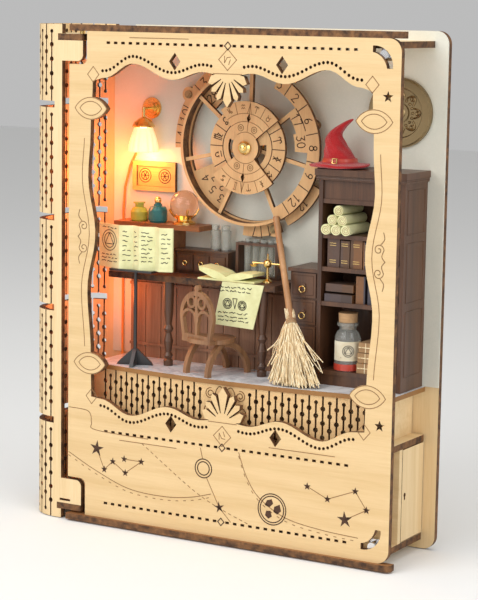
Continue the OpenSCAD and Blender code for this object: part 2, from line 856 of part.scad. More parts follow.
module green_bottle() {
    color("yellowgreen") book() turned(15.6, item_y, shelf_top, [[0, 0], [3.6, 0], [4.3, 0.8],
        [4.3, 4.6], [3.4, 6.4], [2.2, 7], [2.2, 8.4], [2.9, 8.6], [2.9, 9.4], [0, 9.4]]);
}

module blue_bottle() {
    color("teal") book() turned(26.4, item_y, shelf_top, [[0, 0], [4, 0], [4.7, 1], [4.7, 6],
        [3.8, 7.6], [2, 8], [2, 9], [0, 9]]);
    color("gold") book() translate([26.4, item_y, shelf_top + 10.6]) {
        sphere(1.7);
        translate([0, 0, -1.6]) cylinder(h = 1.2, r = 1.5);
    }
}

ball_x = 41.5;
ball_z = shelf_top + ball_r + 2.6;

module crystal_ball() {
    color("peachpuff") book() translate([ball_x, item_y, ball_z]) sphere(ball_r);
}

module ball_stand() {
    color("goldenrod") book() difference() {
        turned(ball_x, item_y, shelf_top, [[0, 0], [5.6, 0], [5.6, 1.1], [3.6, 2], [3.6, 2.4],
            [5.4, 4.6], [4.8, 4.9], [0, 4.9]]);
        translate([ball_x, item_y, ball_z]) sphere(ball_r);
    }
}

module medallion() {
    x = box_x1 - 16;
    z = dial_z + 19;
    color("darkgoldenrod") book() {
        rod_y(x, wall_y - 1.4, z, medal_r, 1.4);
        translate([x, wall_y - 1.4, z]) rotate([90, 0, 0]) rotate_extrude()
            polygon([[medal_r - 5, 0], [medal_r - 0.4, 0], [medal_r - 1, 1], [medal_r - 4.4, 1]]);
        rod_y(x, wall_y - 2.2, z, 4.5, 0.8);
    }
}

// ---- music stand -------------------------------------------------------------
stand_x = 27.7;
stand_y = 16.5;
page_z = desk_z + 2.8;
page_h = 21;
fold = [[6.5, 16.5], [21, 12], [27, 15], [32, 12.6], [39, 15.6], [43, 13], [49, 15.6]];

module music_stand() {
    reach = 9;
    plate_t = 1.8;
    color("black") book() translate([stand_x, stand_y, 0]) {
        for (a = [20, 110])
            translate([0, 0, floor_z]) rotate([90, 0, a])
                linear_extrude(height = plate_t, center = true)
                    polygon([[-reach, 0], [reach, 0], [reach - 1, 1.6], [1, 8], [-1, 8],
                        [1 - reach, 1.6]]);
        translate([0, 0, floor_z]) cylinder(h = page_z - floor_z - 1, r = 0.9);
        translate([-12, -5, page_z - 1]) cube([24, 6, 1]);
    }
}

module music_pages() {
    n = len(fold) - 1;
    color("khaki") book() translate([0, 0, page_z]) linear_extrude(height = page_h)
        polygon(concat(fold, [for (i = [n:-1:0]) fold[i] + [0, 0.9]]));
}

// ---- desk --------------------------------------------------------------------
desk_x1 = desk_x0 + desk_w;
panel_y = 38;

module desk_top() {
    color("saddlebrown") book() board(desk_x0, desk_x1, desk_y0, wall_y, desk_z - desk_t,
        desk_z);
}

module desk_legs() {
    h = desk_z - desk_t - floor_z;
    color("sienna") book()
        for (x = leg_x)
            turned(x, desk_y0 + 3, floor_z, [[0, 0], [2.2, 0], [2.4, 2.5], [1.5, 3.4],
                [2.3, 5], [1.5, 6.6], [2.3, 12], [1.4, 16], [2.4, 18], [1.5, 20],
                [2.2, 26], [2.5, h - 6], [2.5, h], [0, h]]);
}

module desk_panels() {
    h = desk_z - desk_t - floor_z;
    z1 = floor_z + h;
    plank = (desk_w - 4) / 10;
    color("sienna") book() {
        for (i = [0:9])
            board(desk_x0 + 2 + i * plank + 0.2, desk_x0 + 2 + (i + 1) * plank - 0.2,
                panel_y, panel_y + 1.6, floor_z, z1);
        board(desk_x0 + 2, desk_x1 - 2, panel_y + 1.6, panel_y + 2.8, floor_z, z1);
        for (z = [floor_z + 6, z1 - 5])
            board(desk_x0 + 2, desk_x1 - 2, panel_y - 0.8, panel_y, z, z + 1.4);
    }
}

chest_y1 = wall_y;
unit_x0 = desk_x0 + 30;
unit_w = 29;

module desk_drawers() {
    z1 = desk_z + 11;
    y0 = wall_y - 10;
    color("peru") book() {
        difference() {
            board(unit_x0, unit_x0 + unit_w, y0, wall_y, desk_z, z1);
            board(unit_x0 + 1.2, unit_x0 + unit_w - 1.2, y0 + 1.4, wall_y + 1, desk_z + 1.2,
                z1 - 1.4);
        }
        for (i = [0:2])
            board(unit_x0 + 1.4 + i * 9, unit_x0 + 9.6 + i * 9, y0 - 0.7, y0, desk_z + 1.4,
                z1 - 1.8);
        board(unit_x0 - 0.6, unit_x0 + unit_w + 0.6, y0 - 1, wall_y, z1, z1 + 0.8);
    }
}

rack_x0 = desk_x0 + 62;
rack_y = 40.5;
rack_z1 = desk_z + 17;
rack_step = 4.3;

module tube_rack() {
    color("saddlebrown") book() difference() {
        union() {
            board(rack_x0, rack_x0 + 23, rack_y - 3, rack_y + 3, desk_z, desk_z + 1.2);
            board(rack_x0, rack_x0 + 23, rack_y - 3, rack_y + 3, rack_z1 - 1.2, rack_z1);
            for (x = [rack_x0, rack_x0 + 21.6])
                board(x, x + 1.4, rack_y - 3, rack_y + 3, desk_z + 1.2, rack_z1 - 1.2);
        }
        for (i = [0:3])
            translate([rack_x0 + 5 + i * rack_step, rack_y, rack_z1 - 2])
                cylinder(h = 3, r = 1.6);
    }
}

module test_tubes() {
    tall_z = desk_z + 11.8;
    color("lightgray") book() {
        for (i = [0:3])
            turned(rack_x0 + 5 + i * rack_step, rack_y, desk_z + 1.2, [[0, 0], [0.9, 0.3],
                [1.5, 1.4], [1.5, 17.6], [0, 17.6]]);
        for (i = [0, 1])
            turned(unit_x0 + 19 + 6 * i, rack_y, tall_z, [[0, 0], [2.4, 0], [2.4, 9.6],
                [1.8, 10], [2, 12.2], [0, 12.2]]);
    }
}

module brass_balance() {
    x = desk_x0 + 84;
    y = 30;
    color("gold") book() {
        turned(x, y, desk_z, [[0, 0], [2.2, 0], [2.1, 0.8], [0.8, 1.8], [0.6, 7.2], [0, 7.2]]);
        translate([x, y, desk_z + 9]) sphere(2.1);
        turned(x, y, desk_z + 10.8, [[0, 0], [0.6, 0], [0.4, 2.6], [0, 3]]);
        for (s = [-1, 1]) {
            translate([x + s * 1.6, y, desk_z + 9]) rotate([0, s * 90, 0])
                cylinder(h = 6.6, r = 0.5);
            turned(x + s * 7.6, y, desk_z + 7, [[0, 0], [1.2, 0.1], [2.2, 1.2], [0.5, 1.3],
                [0.3, 2], [0, 2]]);
        }
    }
}

module open_book() {
    color("khaki") book() translate([desk_x0 + 66, 0, desk_z]) {
        translate([-15.5, desk_y0 + 0.6, 0]) cube([31, 11.4, 0.8]);
        translate([0, desk_y0 + 12, 0.8]) rotate([90, 0, 0])
            linear_extrude(height = 11.4)
                polygon([[-2, -0.2], [-7, 0.3], [-14.6, 3.4], [-15, 5.4], [-8.6, 4.6], [-3, 3],
                    [0, 1.2], [3, 2.8], [8.6, 3.8], [14.8, 3.6], [14.6, 2.2], [7, 0.3],
                    [2, -0.2]]);
    }
}

module letter() {
    x = desk_x0 + 64;
    color("khaki") book() front_plate(desk_y0 - 0.8, 0.6)
        polygon([[x - 3.6, desk_z - 20.6], [x + 18, desk_z - 21.4], [x + 23.4, desk_z - 0.2],
            [x + 1, desk_z]]);
}

// ---- chair -------------------------------------------------------------------
chair_turn = -20;
chair_at = [70, 17.6];
seat_r = 11.5;
seat_z = 15.5;
seat_t = 2;
back_at = 8.5;            // from the middle of the seat to the chair's back

// Curved leg in the plane X = x; it bends outwards from the seat to the floor
module chair_leg(x, foot, bend_r, bend_a, way) {
    w = 2.4;
    translate([x - w / 2, 0, 0]) rotate([90, 0, 90]) linear_extrude(height = w)
        translate([way * (foot - bend_r + w / 2), 0]) mirror([way < 0 ? 1 : 0, 0])
            ring_sector(bend_r - w, bend_r, 0, bend_a);
}

module chair() {
    color("saddlebrown") book() translate([chair_at[0], chair_at[1], floor_z])
        rotate([0, 0, chair_turn]) {
            translate([0, 0, seat_z]) linear_extrude(height = seat_t) {
                circle(seat_r);
                translate([-10.4, -back_at - 1.1]) square([20.8, back_at + 1.1]);
            }
            for (x = [-8, 8]) {
                chair_leg(x, 16, seat_z + 0.6, 90, 1);
                chair_leg(x, back_at, 19.4, 60, -1);
            }
            translate([0, 1 - back_at, seat_z + seat_t]) rotate([90, 0, 0])
                linear_extrude(height = 2) chair_back();
        }
}

// Balloon back with a spindle and two pairs of curls
module chair_back() {
    r = 12.3;
    mid = 10.2;
    band = 2.2;
    translate([0, mid]) ring_sector(r - band, r, -8, 188);
    translate([0, mid + r + 1.2]) circle(1.6);
    translate([-10.2, 0]) square([20.4, 1.8]);
    translate([-0.85, 0]) square([1.7, mid + r - 1]);
    translate([0, mid]) rotate(90) pointed_oval(9, 3.2);
    for (s = [-1, 1]) {
        polygon([[s * 8, 0], [s * 10.2, 0], [s * r, mid - 1], [s * (r - band), mid - 1]]);
        translate([s * 3.8, mid + 7]) difference() {
            circle(3.2);
            circle(1.9);
        }
        translate([s * 5.6, mid - 2.2]) ring_sector(4.6, 5.9, 0, 180);
    }
}

// ---- chest of drawers --------------------------------------------------------
module drawer_chest() {
    rows = 4;
    row_h = (chest_top - 1.6 - floor_z - 2) / rows;
    color("saddlebrown") book() {
        difference() {
            board(chest_x0, chest_x1, chest_y0, wall_y, floor_z, chest_top - 1.6);
            board(chest_x0 + 1.2, chest_x1 - 1.2, chest_y0 + 1.4, wall_y + 1, floor_z + 1.4,
                chest_top - 3);
        }
        board(chest_x0 - 0.8, chest_x1, chest_y0 - 1.4, wall_y, chest_top - 1.6, chest_top);
        for (i = [0:rows - 1]) {
            z = floor_z + 2 + i * row_h;
            board(chest_x0 + 1, chest_x1 - 1, chest_y0 - 0.8, chest_y0, z + 0.4, z + row_h - 0.6);
            rod_y((chest_x0 + chest_x1) / 2, chest_y0 - 1.4, z + row_h / 2, 1.1, 0.6);
        }
    }
}

// ---- broom -------------------------------------------------------------------
broom_at = [118.5, 11.2];
neck = [115.5, 12.4, floor_z + 30];
lean = unit([-19.3, 18.6, 46]);

module broom_handle() {
    tilt = acos(lean[2]);
    turn = atan2(lean[1], lean[0]);
    color("peru") book() translate(neck) rotate([0, tilt, turn])
        translate([0, 0, 0.3]) cylinder(h = handle_len - 6, r = 1.5);
}

module broom_bristles() {
    color("burlywood") book() hull() {
        translate([broom_at[0], broom_at[1], floor_z]) linear_extrude(height = 0.5)
            for (s = [-1, 1])
                translate([s * 8.5, 0]) circle(6.4, $fn = 24);
        translate([broom_at[0] - 1, broom_at[1], floor_z + 8]) linear_extrude(height = 0.5)
            for (s = [-1, 1])
                translate([s * 5.4, 0]) circle(5.6, $fn = 24);
        translate([neck[0], neck[1], neck[2] - 2]) rotate([0, acos(lean[2]), atan2(lean[1], lean[0])])
            cylinder(h = 2, r = 2.5, $fn = 24);
    }
}

// ---- bookcase ----------------------------------------------------------------
module bookcase() {
    crown_h = 5;
    z1 = case_top - crown_h;
    inner0 = case_x0 + case_t;
    inner1 = case_x1 - case_t;
    color("saddlebrown") book() {
        for (x = [case_x0, inner1])
            board(x, x + case_t, case_y0, wall_y, floor_z, z1);
        board(inner0, inner1, wall_y - 1.2, wall_y, floor_z, z1);
        for (z = case_shelves)
            board(inner0, inner1, case_y0 + 0.4, wall_y - 1.2, z - case_t, z);
        board(inner0, inner1, case_y0 + 1, case_y0 + 2.4, floor_z, case_shelves[0] - case_t);
        board(inner0, inner1, case_y0 + 1, case_y0 + 2.4, case_shelves[4], z1);
        board(case_x0 - 0.8, case_x1 + 0.8, case_y0 - 1, wall_y, z1, z1 + 2);
        board(case_x0 - 1.4, case_x1 + 1.4, case_y0 - 2, wall_y, z1 + 2, case_top);
    }
}

scroll_r = 2.4;
module scrolls() {
    x0 = case_x0 + case_t + scroll_r + 0.6;
    z0 = case_shelves[3] + scroll_r;
    color("khaki") book()
        for (row = [0:2], i = [0:2 - row])
            rod_y(x0 + (2 * i + row) * (scroll_r + 0.15), case_y0 - 2.4 + row * 1.2,
                z0 + row * scroll_r * 1.78, scroll_r, 21);
}

book_widths = [6.2, 4.6, 6, 5.2];
function book_start(i) = i == 0 ? 0 : book_start(i - 1) + book_widths[i - 1] + 0.5;

module books() {
    x0 = case_x0 + case_t + 2;
    z = case_shelves[2];
    color("dimgray") book() {
        for (i = [0:3])
            board(x0 + book_start(i), x0 + book_start(i) + book_widths[i], case_y0 + 2,
                case_y0 + 14, z, z + 13 - (i % 2) * 0.6);
        for (i = [0:2])
            board(x0 + 15 + i * 6, x0 + 19.6 + i * 6, case_y0 + 2, case_y0 + 14,
                case_shelves[1], case_shelves[1] + 12.6);
        for (i = [0, 1])
            board(x0 - 0.6, x0 + 13.6, case_y0 + 1 + i, case_y0 + 13,
                case_shelves[1] + i * 4.6, case_shelves[1] + 3.6 + i * 4.6);
    }
}

jar_x = case_x0 + 13;
jar_y = case_y0 + 6.8;
jar_z = case_shelves[0];

module jar() {
    color("lightgray") book() turned(jar_x, jar_y, jar_z, [[0, 0], [5.8, 0], [6.1, 0.6],
        [6.1, 15.6], [5, 18], [4, 19], [4, 20.4], [5, 20.8], [5, 22.4], [3.1, 22.4],
        [3.1, 19.2], [0, 19.2]]);
}

module jar_cork() {
    color("tan") book() turned(jar_x, jar_y, jar_z + 19.2, [[0, 0], [3, 0], [3, 3.2], [4.3, 3.3],
        [4.5, 7.6], [0, 7.6]]);
}

module box_stack() {
    x0 = jar_x + 7.2;
    color("burlywood") book()
        for (i = [0:2])
            board(x0 + i * 0.3, x0 + 15 - i * 0.2, case_y0 + 2 + i * 0.3, case_y0 + 15,
                jar_z + i * 4.8, jar_z + i * 4.8 + 4.5);
}

hat_at = [case_x0 + 6, 30.3];
module wizard_hat() {
    z = case_top;
    bend = [hat_at[0] - 4, hat_at[1] + 0.6, z + 15.8];
    tip = [hat_at[0] + 6, hat_at[1] + 0.6, z + 23];
    color("red") book() {
        turned(hat_at[0], hat_at[1], z, [[0, 0], [14.2, 0], [14.6, 1.4], [13.6, 2.2], [0, 2.6]]);
        hull() {
            translate([hat_at[0], hat_at[1], z + 2.2]) cylinder(h = 0.6, r = 7.4, $fn = 32);
            translate(bend) sphere(3.2, $fn = 20);
        }
        hull() {
            translate(bend) sphere(3.2, $fn = 20);
            translate(tip) sphere(1.2, $fn = 16);
        }
    }
}

spine();
back_cover();
wall_lining();
top_board();
bottom_board();
base_walls();
base_top();
stage_floor();
railing();
box_magnets();
wheel_axle();
axle_cap();
number_dial();
dial_pins();
lamp_bracket();
lamp_shade();
lamp_led();
lamp_wire();
battery_box();
battery_cells();
wall_shelf();
picture_frame();
green_bottle();
blue_bottle();
crystal_ball();
ball_stand();
music_stand();
music_pages();
desk_top();
desk_legs();
desk_panels();
desk_drawers();
tube_rack();
test_tubes();
brass_balance();
open_book();
letter();
chair();
drawer_chest();
broom_handle();
broom_bristles();
bookcase();
scrolls();
books();
jar();
jar_cork();
box_stack();
wizard_hat();
medallion();
front_cover();
cover_top_band();
cover_bottom_band();
cover_magnets();
hinge_pins();
spoked_wheel();
zodiac_disc();
pointer_disc();
drawer_front();
drawer_tray();
power_switch();
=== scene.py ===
import math
import random

import bpy
from mathutils import Matrix, Vector


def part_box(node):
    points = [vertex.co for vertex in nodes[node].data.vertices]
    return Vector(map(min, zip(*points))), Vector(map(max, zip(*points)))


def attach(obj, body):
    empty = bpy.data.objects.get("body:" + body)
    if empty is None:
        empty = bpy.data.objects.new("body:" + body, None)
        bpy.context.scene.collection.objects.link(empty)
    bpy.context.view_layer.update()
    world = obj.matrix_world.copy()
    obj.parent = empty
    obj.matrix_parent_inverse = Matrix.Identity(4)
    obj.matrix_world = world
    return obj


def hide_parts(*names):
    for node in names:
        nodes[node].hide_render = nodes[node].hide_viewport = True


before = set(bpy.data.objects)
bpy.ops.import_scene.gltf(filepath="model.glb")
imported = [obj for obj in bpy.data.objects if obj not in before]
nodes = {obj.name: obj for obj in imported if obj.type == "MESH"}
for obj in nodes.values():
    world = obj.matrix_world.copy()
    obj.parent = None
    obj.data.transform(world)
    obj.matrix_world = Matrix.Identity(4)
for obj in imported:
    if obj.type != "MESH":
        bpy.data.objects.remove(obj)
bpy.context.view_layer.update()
print("frame loaded,", len(nodes), "nodes")

mm = 0.001
coverLow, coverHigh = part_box("front_cover")
seed = random.Random(7)


def spot(x, y, z):  # millimetres from the hinge edge of the cover, its face and the table
    return Vector((coverLow.x + x * mm, coverLow.y + y * mm, z * mm))


# Camera and light
cameraSet = {
    "place": (0.47895, -0.8176, 0.2503),
    "yaw": 30.03,
    "pitch": 8.305,
    "roll": 0.907,
    "lens": 121.33,
}


def addCamera():
    bpy.ops.object.camera_add()
    camera = bpy.context.object
    turn = Matrix.Rotation(math.radians(cameraSet["yaw"]), 4, "Z")
    tip = Matrix.Rotation(math.radians(90 - cameraSet["pitch"]), 4, "X")
    roll = Matrix.Rotation(math.radians(cameraSet["roll"]), 4, "Z")
    camera.matrix_world = Matrix.Translation(cameraSet["place"]) @ turn @ tip @ roll
    camera.data.lens = cameraSet["lens"]
    camera.data.sensor_width = 36
    camera.data.clip_start = 0.01
    bpy.context.scene.camera = camera


lightSet = {
    "key": {"place": (-0.35, -1.0, 0.75), "size": 0.9, "power": 8.5, "colour": (1, 0.98, 0.95)},
    "side": {"place": (1.0, -0.5, 0.55), "size": 0.8, "power": 5.0, "colour": (1, 0.99, 0.97)},
    "top": {"place": (0.1, -0.25, 1.1), "size": 0.7, "power": 4.0, "colour": (1, 1, 1)},
}


glowSet = {
    "lampGlow": {"place": (18, 36, 176), "power": 0.028, "colour": (1, 0.40, 0.10)},
    "cornerGlow": {"place": (-1, 27, 172), "power": 0.045, "colour": (1, 0.17, 0.02)},
    "deskGlow": {"place": (4, 26, 108), "power": 0.022, "colour": (1, 0.20, 0.03)},
}


def addLights():
    for name, light in lightSet.items():
        bpy.ops.object.light_add(type="AREA", location=light["place"])
        lamp = bpy.context.object
        lamp.name = name + "Light"
        lamp.data.energy = light["power"]
        lamp.data.size = light["size"]
        lamp.data.color = light["colour"]
        aim = Vector((0, 0, 0.12)) - lamp.location
        lamp.rotation_euler = aim.to_track_quat("-Z", "Y").to_euler()
    for name, glow in glowSet.items():
        bpy.ops.object.light_add(type="POINT", location=spot(*glow["place"]))
        lamp = bpy.context.object
        lamp.name = name
        lamp.data.energy = glow["power"]
        lamp.data.color = glow["colour"]
        lamp.data.shadow_soft_size = 0.005
    world = bpy.data.worlds.new("studio")
    bpy.context.scene.world = world
    world.use_nodes = True
    world.node_tree.nodes["Background"].inputs["Color"].default_value = (1, 1, 1, 1)
    world.node_tree.nodes["Background"].inputs["Strength"].default_value = 0.5
    bpy.context.scene.view_settings.view_transform = "Standard"


# Shader maths
class Value:
    def __init__(self, tree, socket):
        self.tree = tree
        self.socket = socket

    def math(self, operation, *others):
        node = self.tree.nodes.new("ShaderNodeMath")
        node.operation = operation
        for place, item in enumerate((self,) + others):
            if isinstance(item, Value):
                self.tree.links.new(item.socket, node.inputs[place])
            else:
                node.inputs[place].default_value = item
        return Value(self.tree, node.outputs[0])

    def lift(self, number):
        node = self.tree.nodes.new("ShaderNodeValue")
        node.outputs[0].default_value = number
        return Value(self.tree, node.outputs[0])

    def __add__(self, other):
        return self.math("ADD", other)

    __radd__ = __add__

    def __sub__(self, other):
        return self.math("SUBTRACT", other)

    def __rsub__(self, other):
        return self.lift(other).math("SUBTRACT", self)

    def __mul__(self, other):
        return self.math("MULTIPLY", other)

    __rmul__ = __mul__

    def __truediv__(self, other):
        return self.math("DIVIDE", other)

    def above(self, level):
        return self.math("GREATER_THAN", level)

    def clamp(self):
        return self.math("MAXIMUM", 0.0).math("MINIMUM", 1.0)


class Finish:
    def __init__(self, name):
        self.material = bpy.data.materials.new(name)
        self.material.use_nodes = True
        self.tree = self.material.node_tree
        self.shader = self.tree.nodes["Principled BSDF"]
        self.place = self.node("ShaderNodeTexCoord", out="Object")

    def node(self, kind, settings=None, inputs=None, out=0):
        node = self.tree.nodes.new(kind)
        for key, setting in (settings or {}).items():
            if key == "stops":
                ramp = node.color_ramp
                while len(ramp.elements) < len(setting):
                    ramp.elements.new(0.5)
                for element, (where, colour) in zip(ramp.elements, setting):
                    element.position = where
                    element.color = (*colour, 1)
            else:
                setattr(node, key, setting)
        for key, given in (inputs or {}).items():
            if isinstance(given, Value):
                self.tree.links.new(given.socket, node.inputs[key])
            else:
                node.inputs[key].default_value = given
        return Value(self.tree, node.outputs[out])

    def split(self, vector):
        node = self.tree.nodes.new("ShaderNodeSeparateXYZ")
        self.tree.links.new(vector.socket, node.inputs[0])
        return [Value(self.tree, node.outputs[axis]) for axis in range(3)]

    def stretched(self, scale):
        return self.node("ShaderNodeVectorMath", {"operation": "MULTIPLY"},
                         {0: self.place, 1: scale})

    def noise(self, scale, stretch=(1, 1, 1), detail=4.0, rough=0.55, warp=0.0):
        return self.node("ShaderNodeTexNoise", {},
                         {"Vector": self.stretched(stretch), "Scale": scale, "Detail": detail,
                          "Roughness": rough, "Distortion": warp}, "Fac")

    def mix(self, first, second, factor):
        given = {"Factor": factor}
        for key, colour in (("A", first), ("B", second)):
            given[key] = colour if isinstance(colour, Value) else (*colour, 1)
        node = self.tree.nodes.new("ShaderNodeMix")
        node.data_type = "RGBA"
        sockets = {"Factor": node.inputs[0], "A": node.inputs[6], "B": node.inputs[7]}
        for key, item in given.items():
            if isinstance(item, Value):
                self.tree.links.new(item.socket, sockets[key])
            else:
                sockets[key].default_value = item
        return Value(self.tree, node.outputs[2])

    def ramp(self, factor, stops):
        return self.node("ShaderNodeValToRGB", {"stops": stops}, {"Fac": factor}, "Color")

    def bump(self, height, strength, depth):
        return self.node("ShaderNodeBump", {}, {"Height": height, "Strength": strength,
                                                "Distance": depth}, "Normal")

    def use(self, **parts):
        names = {"colour": "Base Color", "rough": "Roughness", "metal": "Metallic",
                 "normal": "Normal", "coat": "Coat Weight", "sheen": "Sheen Weight",
                 "clear": "Transmission Weight", "ior": "IOR", "glow": "Emission Color",
                 "glowPower": "Emission Strength", "alpha": "Alpha"}
        for key, item in parts.items():
            socket = self.shader.inputs[names[key]]
            if isinstance(item, Value):
                self.tree.links.new(item.socket, socket)
            elif isinstance(item, tuple):
                socket.default_value = (*item, 1)
            else:
                socket.default_value = item
        return self.material


# Wood
stretches = {"x": (0.05, 1, 1), "y": (1, 0.05, 1), "z": (1, 1, 0.05)}
burn = {"deep": (0.045, 0.018, 0.007), "warm": (0.30, 0.135, 0.045)}


def grainTone(finish, light, dark, grain, strength=1.0):
    stretch = stretches[grain]
    broad = finish.noise(170, stretch, 4, 0.6, 0.4)
    fine = finish.noise(1500, stretch, 3, 0.7)
    streaks = ((broad - 0.5) * 1.5 * strength + (fine - 0.5) * 0.7 * strength + 0.42).clamp()
    return finish.mix(light, dark, streaks), fine


def outwardMask(finish, axis):
    normal = finish.node("ShaderNodeTexCoord", out="Normal")
    if axis == "spine":  # outwards from the bend of the spine
        spineLow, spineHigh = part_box("spine")
        x, y, z = finish.split(finish.place)
        bend = spineLow.x + 0.017
        low, high = spineLow.y + 0.017, spineHigh.y - 0.017
        cx = x.math("MAXIMUM", bend)
        cy = y.math("MAXIMUM", low).math("MINIMUM", high)
        out = finish.node("ShaderNodeCombineXYZ", {}, {0: x - cx, 1: y - cy, 2: 0.0})
        out = finish.node("ShaderNodeVectorMath", {"operation": "NORMALIZE"}, {0: out})
        dot = finish.tree.nodes.new("ShaderNodeVectorMath")
        dot.operation = "DOT_PRODUCT"
        finish.tree.links.new(out.socket, dot.inputs[0])
        finish.tree.links.new(normal.socket, dot.inputs[1])
        return Value(finish.tree, dot.outputs["Value"]).math("ABSOLUTE").above(0.8)
    return finish.split(normal)["xyz".index(axis)].math("ABSOLUTE").above(0.72)


def cutPly(name, light, dark, face, grain, burnt=burn, rough=0.62):
    finish = Finish(name)
    tone, fine = grainTone(finish, light, dark, grain)
    speck = finish.noise(260, (1, 1, 1), 5, 0.65)
    scorch = finish.mix(burnt["deep"], burnt["warm"], ((speck - 0.36) * 2.4).clamp())
    if face == "upright":  # boards on end: only their top and bottom edges are burnt
        mask = outwardMask(finish, "z") * -1.0 + 1.0
    else:
        mask = outwardMask(finish, face)
    return finish.use(colour=finish.mix(scorch, tone, mask), rough=mask * -0.14 + rough + 0.14,
                      normal=finish.bump(fine, 0.25, 0.0002))


def plainWood(name, light, dark, grain, rough=0.5, coat=0.0):
    finish = Finish(name)
    tone, fine = grainTone(finish, light, dark, grain, 1.2)
    return finish.use(colour=tone, rough=rough, coat=coat,
                      normal=finish.bump(fine, 0.35, 0.0002))


# Other finishes
def metal(name, bright, dull, rough, wear=0.5):
    finish = Finish(name)
    cloud = finish.noise(420, (1, 1, 1), 5, 0.6)
    tarnish = ((cloud - wear) * 3.2).clamp()
    return finish.use(colour=finish.mix(bright, dull, tarnish), metal=1.0,
                      rough=tarnish * 0.25 + rough, normal=finish.bump(cloud, 0.12, 0.0003))


def glazed(name, colour, clear, rough=0.06):
    finish = Finish(name)
    cloud = finish.noise(160, (1, 1, 1), 3)
    deep = tuple(part * 0.6 for part in colour)
    return finish.use(colour=finish.mix(colour, deep, cloud), clear=clear, rough=rough, ior=1.45)


def paper(name, light, dark, scale=190, rough=0.85):
    finish = Finish(name)
    cloud = finish.noise(scale, (1, 1, 1), 5, 0.6)
    fibre = finish.noise(2600, (1, 1, 1), 2)
    return finish.use(colour=finish.mix(light, dark, ((cloud - 0.35) * 2.2).clamp()),
                      rough=rough, normal=finish.bump(fibre, 0.15, 0.0001))


def paint(name, colour, rough, coat=0.0):
    finish = Finish(name)
    cloud = finish.noise(900, (1, 1, 1), 3)
    lighter = tuple(min(1, part * 1.25 + 0.01) for part in colour)
    return finish.use(colour=finish.mix(colour, lighter, cloud), rough=rough, coat=coat,
                      normal=finish.bump(cloud, 0.08, 0.0002))


def wallPaper():
    finish = Finish("wallPaper")
    x, y, z = finish.split(finish.place)
    cloud = finish.noise(26, (1, 1, 1), 4, 0.6)
    base = finish.mix((0.72, 0.70, 0.61), (0.58, 0.60, 0.53), ((cloud - 0.3) * 1.8).clamp())
    weave = (x * 900).math("SINE") * (z * 900).math("SINE")
    fine = finish.noise(1300, (1, 1, 1), 3)
    base = finish.mix(base, (0.78, 0.76, 0.68), ((fine - 0.45) * 0.9).clamp())
    return finish.use(colour=base, rough=0.8, normal=finish.bump(weave * 0.4 + fine, 0.12, 0.0001))


def marble():
    finish = Finish("marbleFloor")
    cloud = finish.noise(55, (1, 1, 1), 6, 0.65, 1.2)
    vein = 1 - ((cloud - 0.5).math("ABSOLUTE") * 16).clamp()
    soft = finish.noise(20, (1, 1, 1), 3)
    base = finish.mix((0.74, 0.75, 0.77), (0.52, 0.54, 0.57), ((soft - 0.4) * 1.8).clamp())
    base = finish.mix(base, (0.33, 0.34, 0.37), vein * 0.7)
    edge = finish.mix((0.36, 0.17, 0.045), (0.20, 0.085, 0.02), cloud)
    mask = outwardMask(finish, "z")
    return finish.use(colour=finish.mix(edge, base, mask), rough=mask * -0.3 + 0.6)


def felt():
    finish = Finish("redFelt")
    fuzz = finish.noise(1900, (1, 1, 1), 5, 0.75)
    cloud = finish.noise(120, (1, 1, 1), 3)
    colour = finish.mix((0.60, 0.010, 0.014), (0.27, 0.002, 0.006), cloud)
    colour = finish.mix(colour, (0.80, 0.07, 0.06), ((fuzz - 0.55) * 2.5).clamp())
    return finish.use(colour=colour, rough=0.95, sheen=0.35,
                      normal=finish.bump(fuzz, 0.8, 0.0006))


def straw():
    finish = Finish("straw")
    strand = finish.noise(1500, (1, 1, 0.03), 2)
    colour = finish.ramp(strand, [(0.28, (0.42, 0.26, 0.11)), (0.44, (0.74, 0.56, 0.31)),
                                  (0.62, (0.92, 0.80, 0.56))])
    return finish.use(colour=colour, rough=0.7)


def glowing(name, colour, light, power, rough=0.6):
    finish = Finish(name)
    cloud = finish.noise(300, (1, 1, 1), 3)
    softer = tuple(part * 0.75 for part in light)
    return finish.use(colour=colour, glow=finish.mix(light, softer, cloud), glowPower=power,
                      rough=rough)


def leatherSpines():
    finish = Finish("bookSpines")
    pick = finish.node("ShaderNodeTexWhiteNoise", {"noise_dimensions": "2D"},
                       {"Vector": finish.node("ShaderNodeVectorMath", {"operation": "SNAP"},
                                              {0: finish.place, 1: (0.0055, 1.0, 0.016)})},
                       "Value")
    fine = finish.noise(900, (1, 1, 1), 4)
    colour = finish.ramp(pick, [(0.10, (0.05, 0.045, 0.06)), (0.35, (0.13, 0.06, 0.025)),
                                (0.60, (0.035, 0.03, 0.035)), (0.85, (0.20, 0.085, 0.03))])
    colour = finish.mix(colour, (0.10, 0.07, 0.05), ((fine - 0.4) * 0.8).clamp())
    return finish.use(colour=colour, rough=0.55, normal=finish.bump(fine, 0.4, 0.0003))


birch = {"light": (0.83, 0.64, 0.38), "dark": (0.66, 0.46, 0.22)}
walnut = {"light": (0.125, 0.052, 0.022), "dark": (0.032, 0.012, 0.006)}
redBrown = {"light": (0.34, 0.175, 0.095), "dark": (0.15, 0.066, 0.034)}
walnutEdge = {"deep": (0.016, 0.007, 0.004), "warm": (0.20, 0.085, 0.03)}

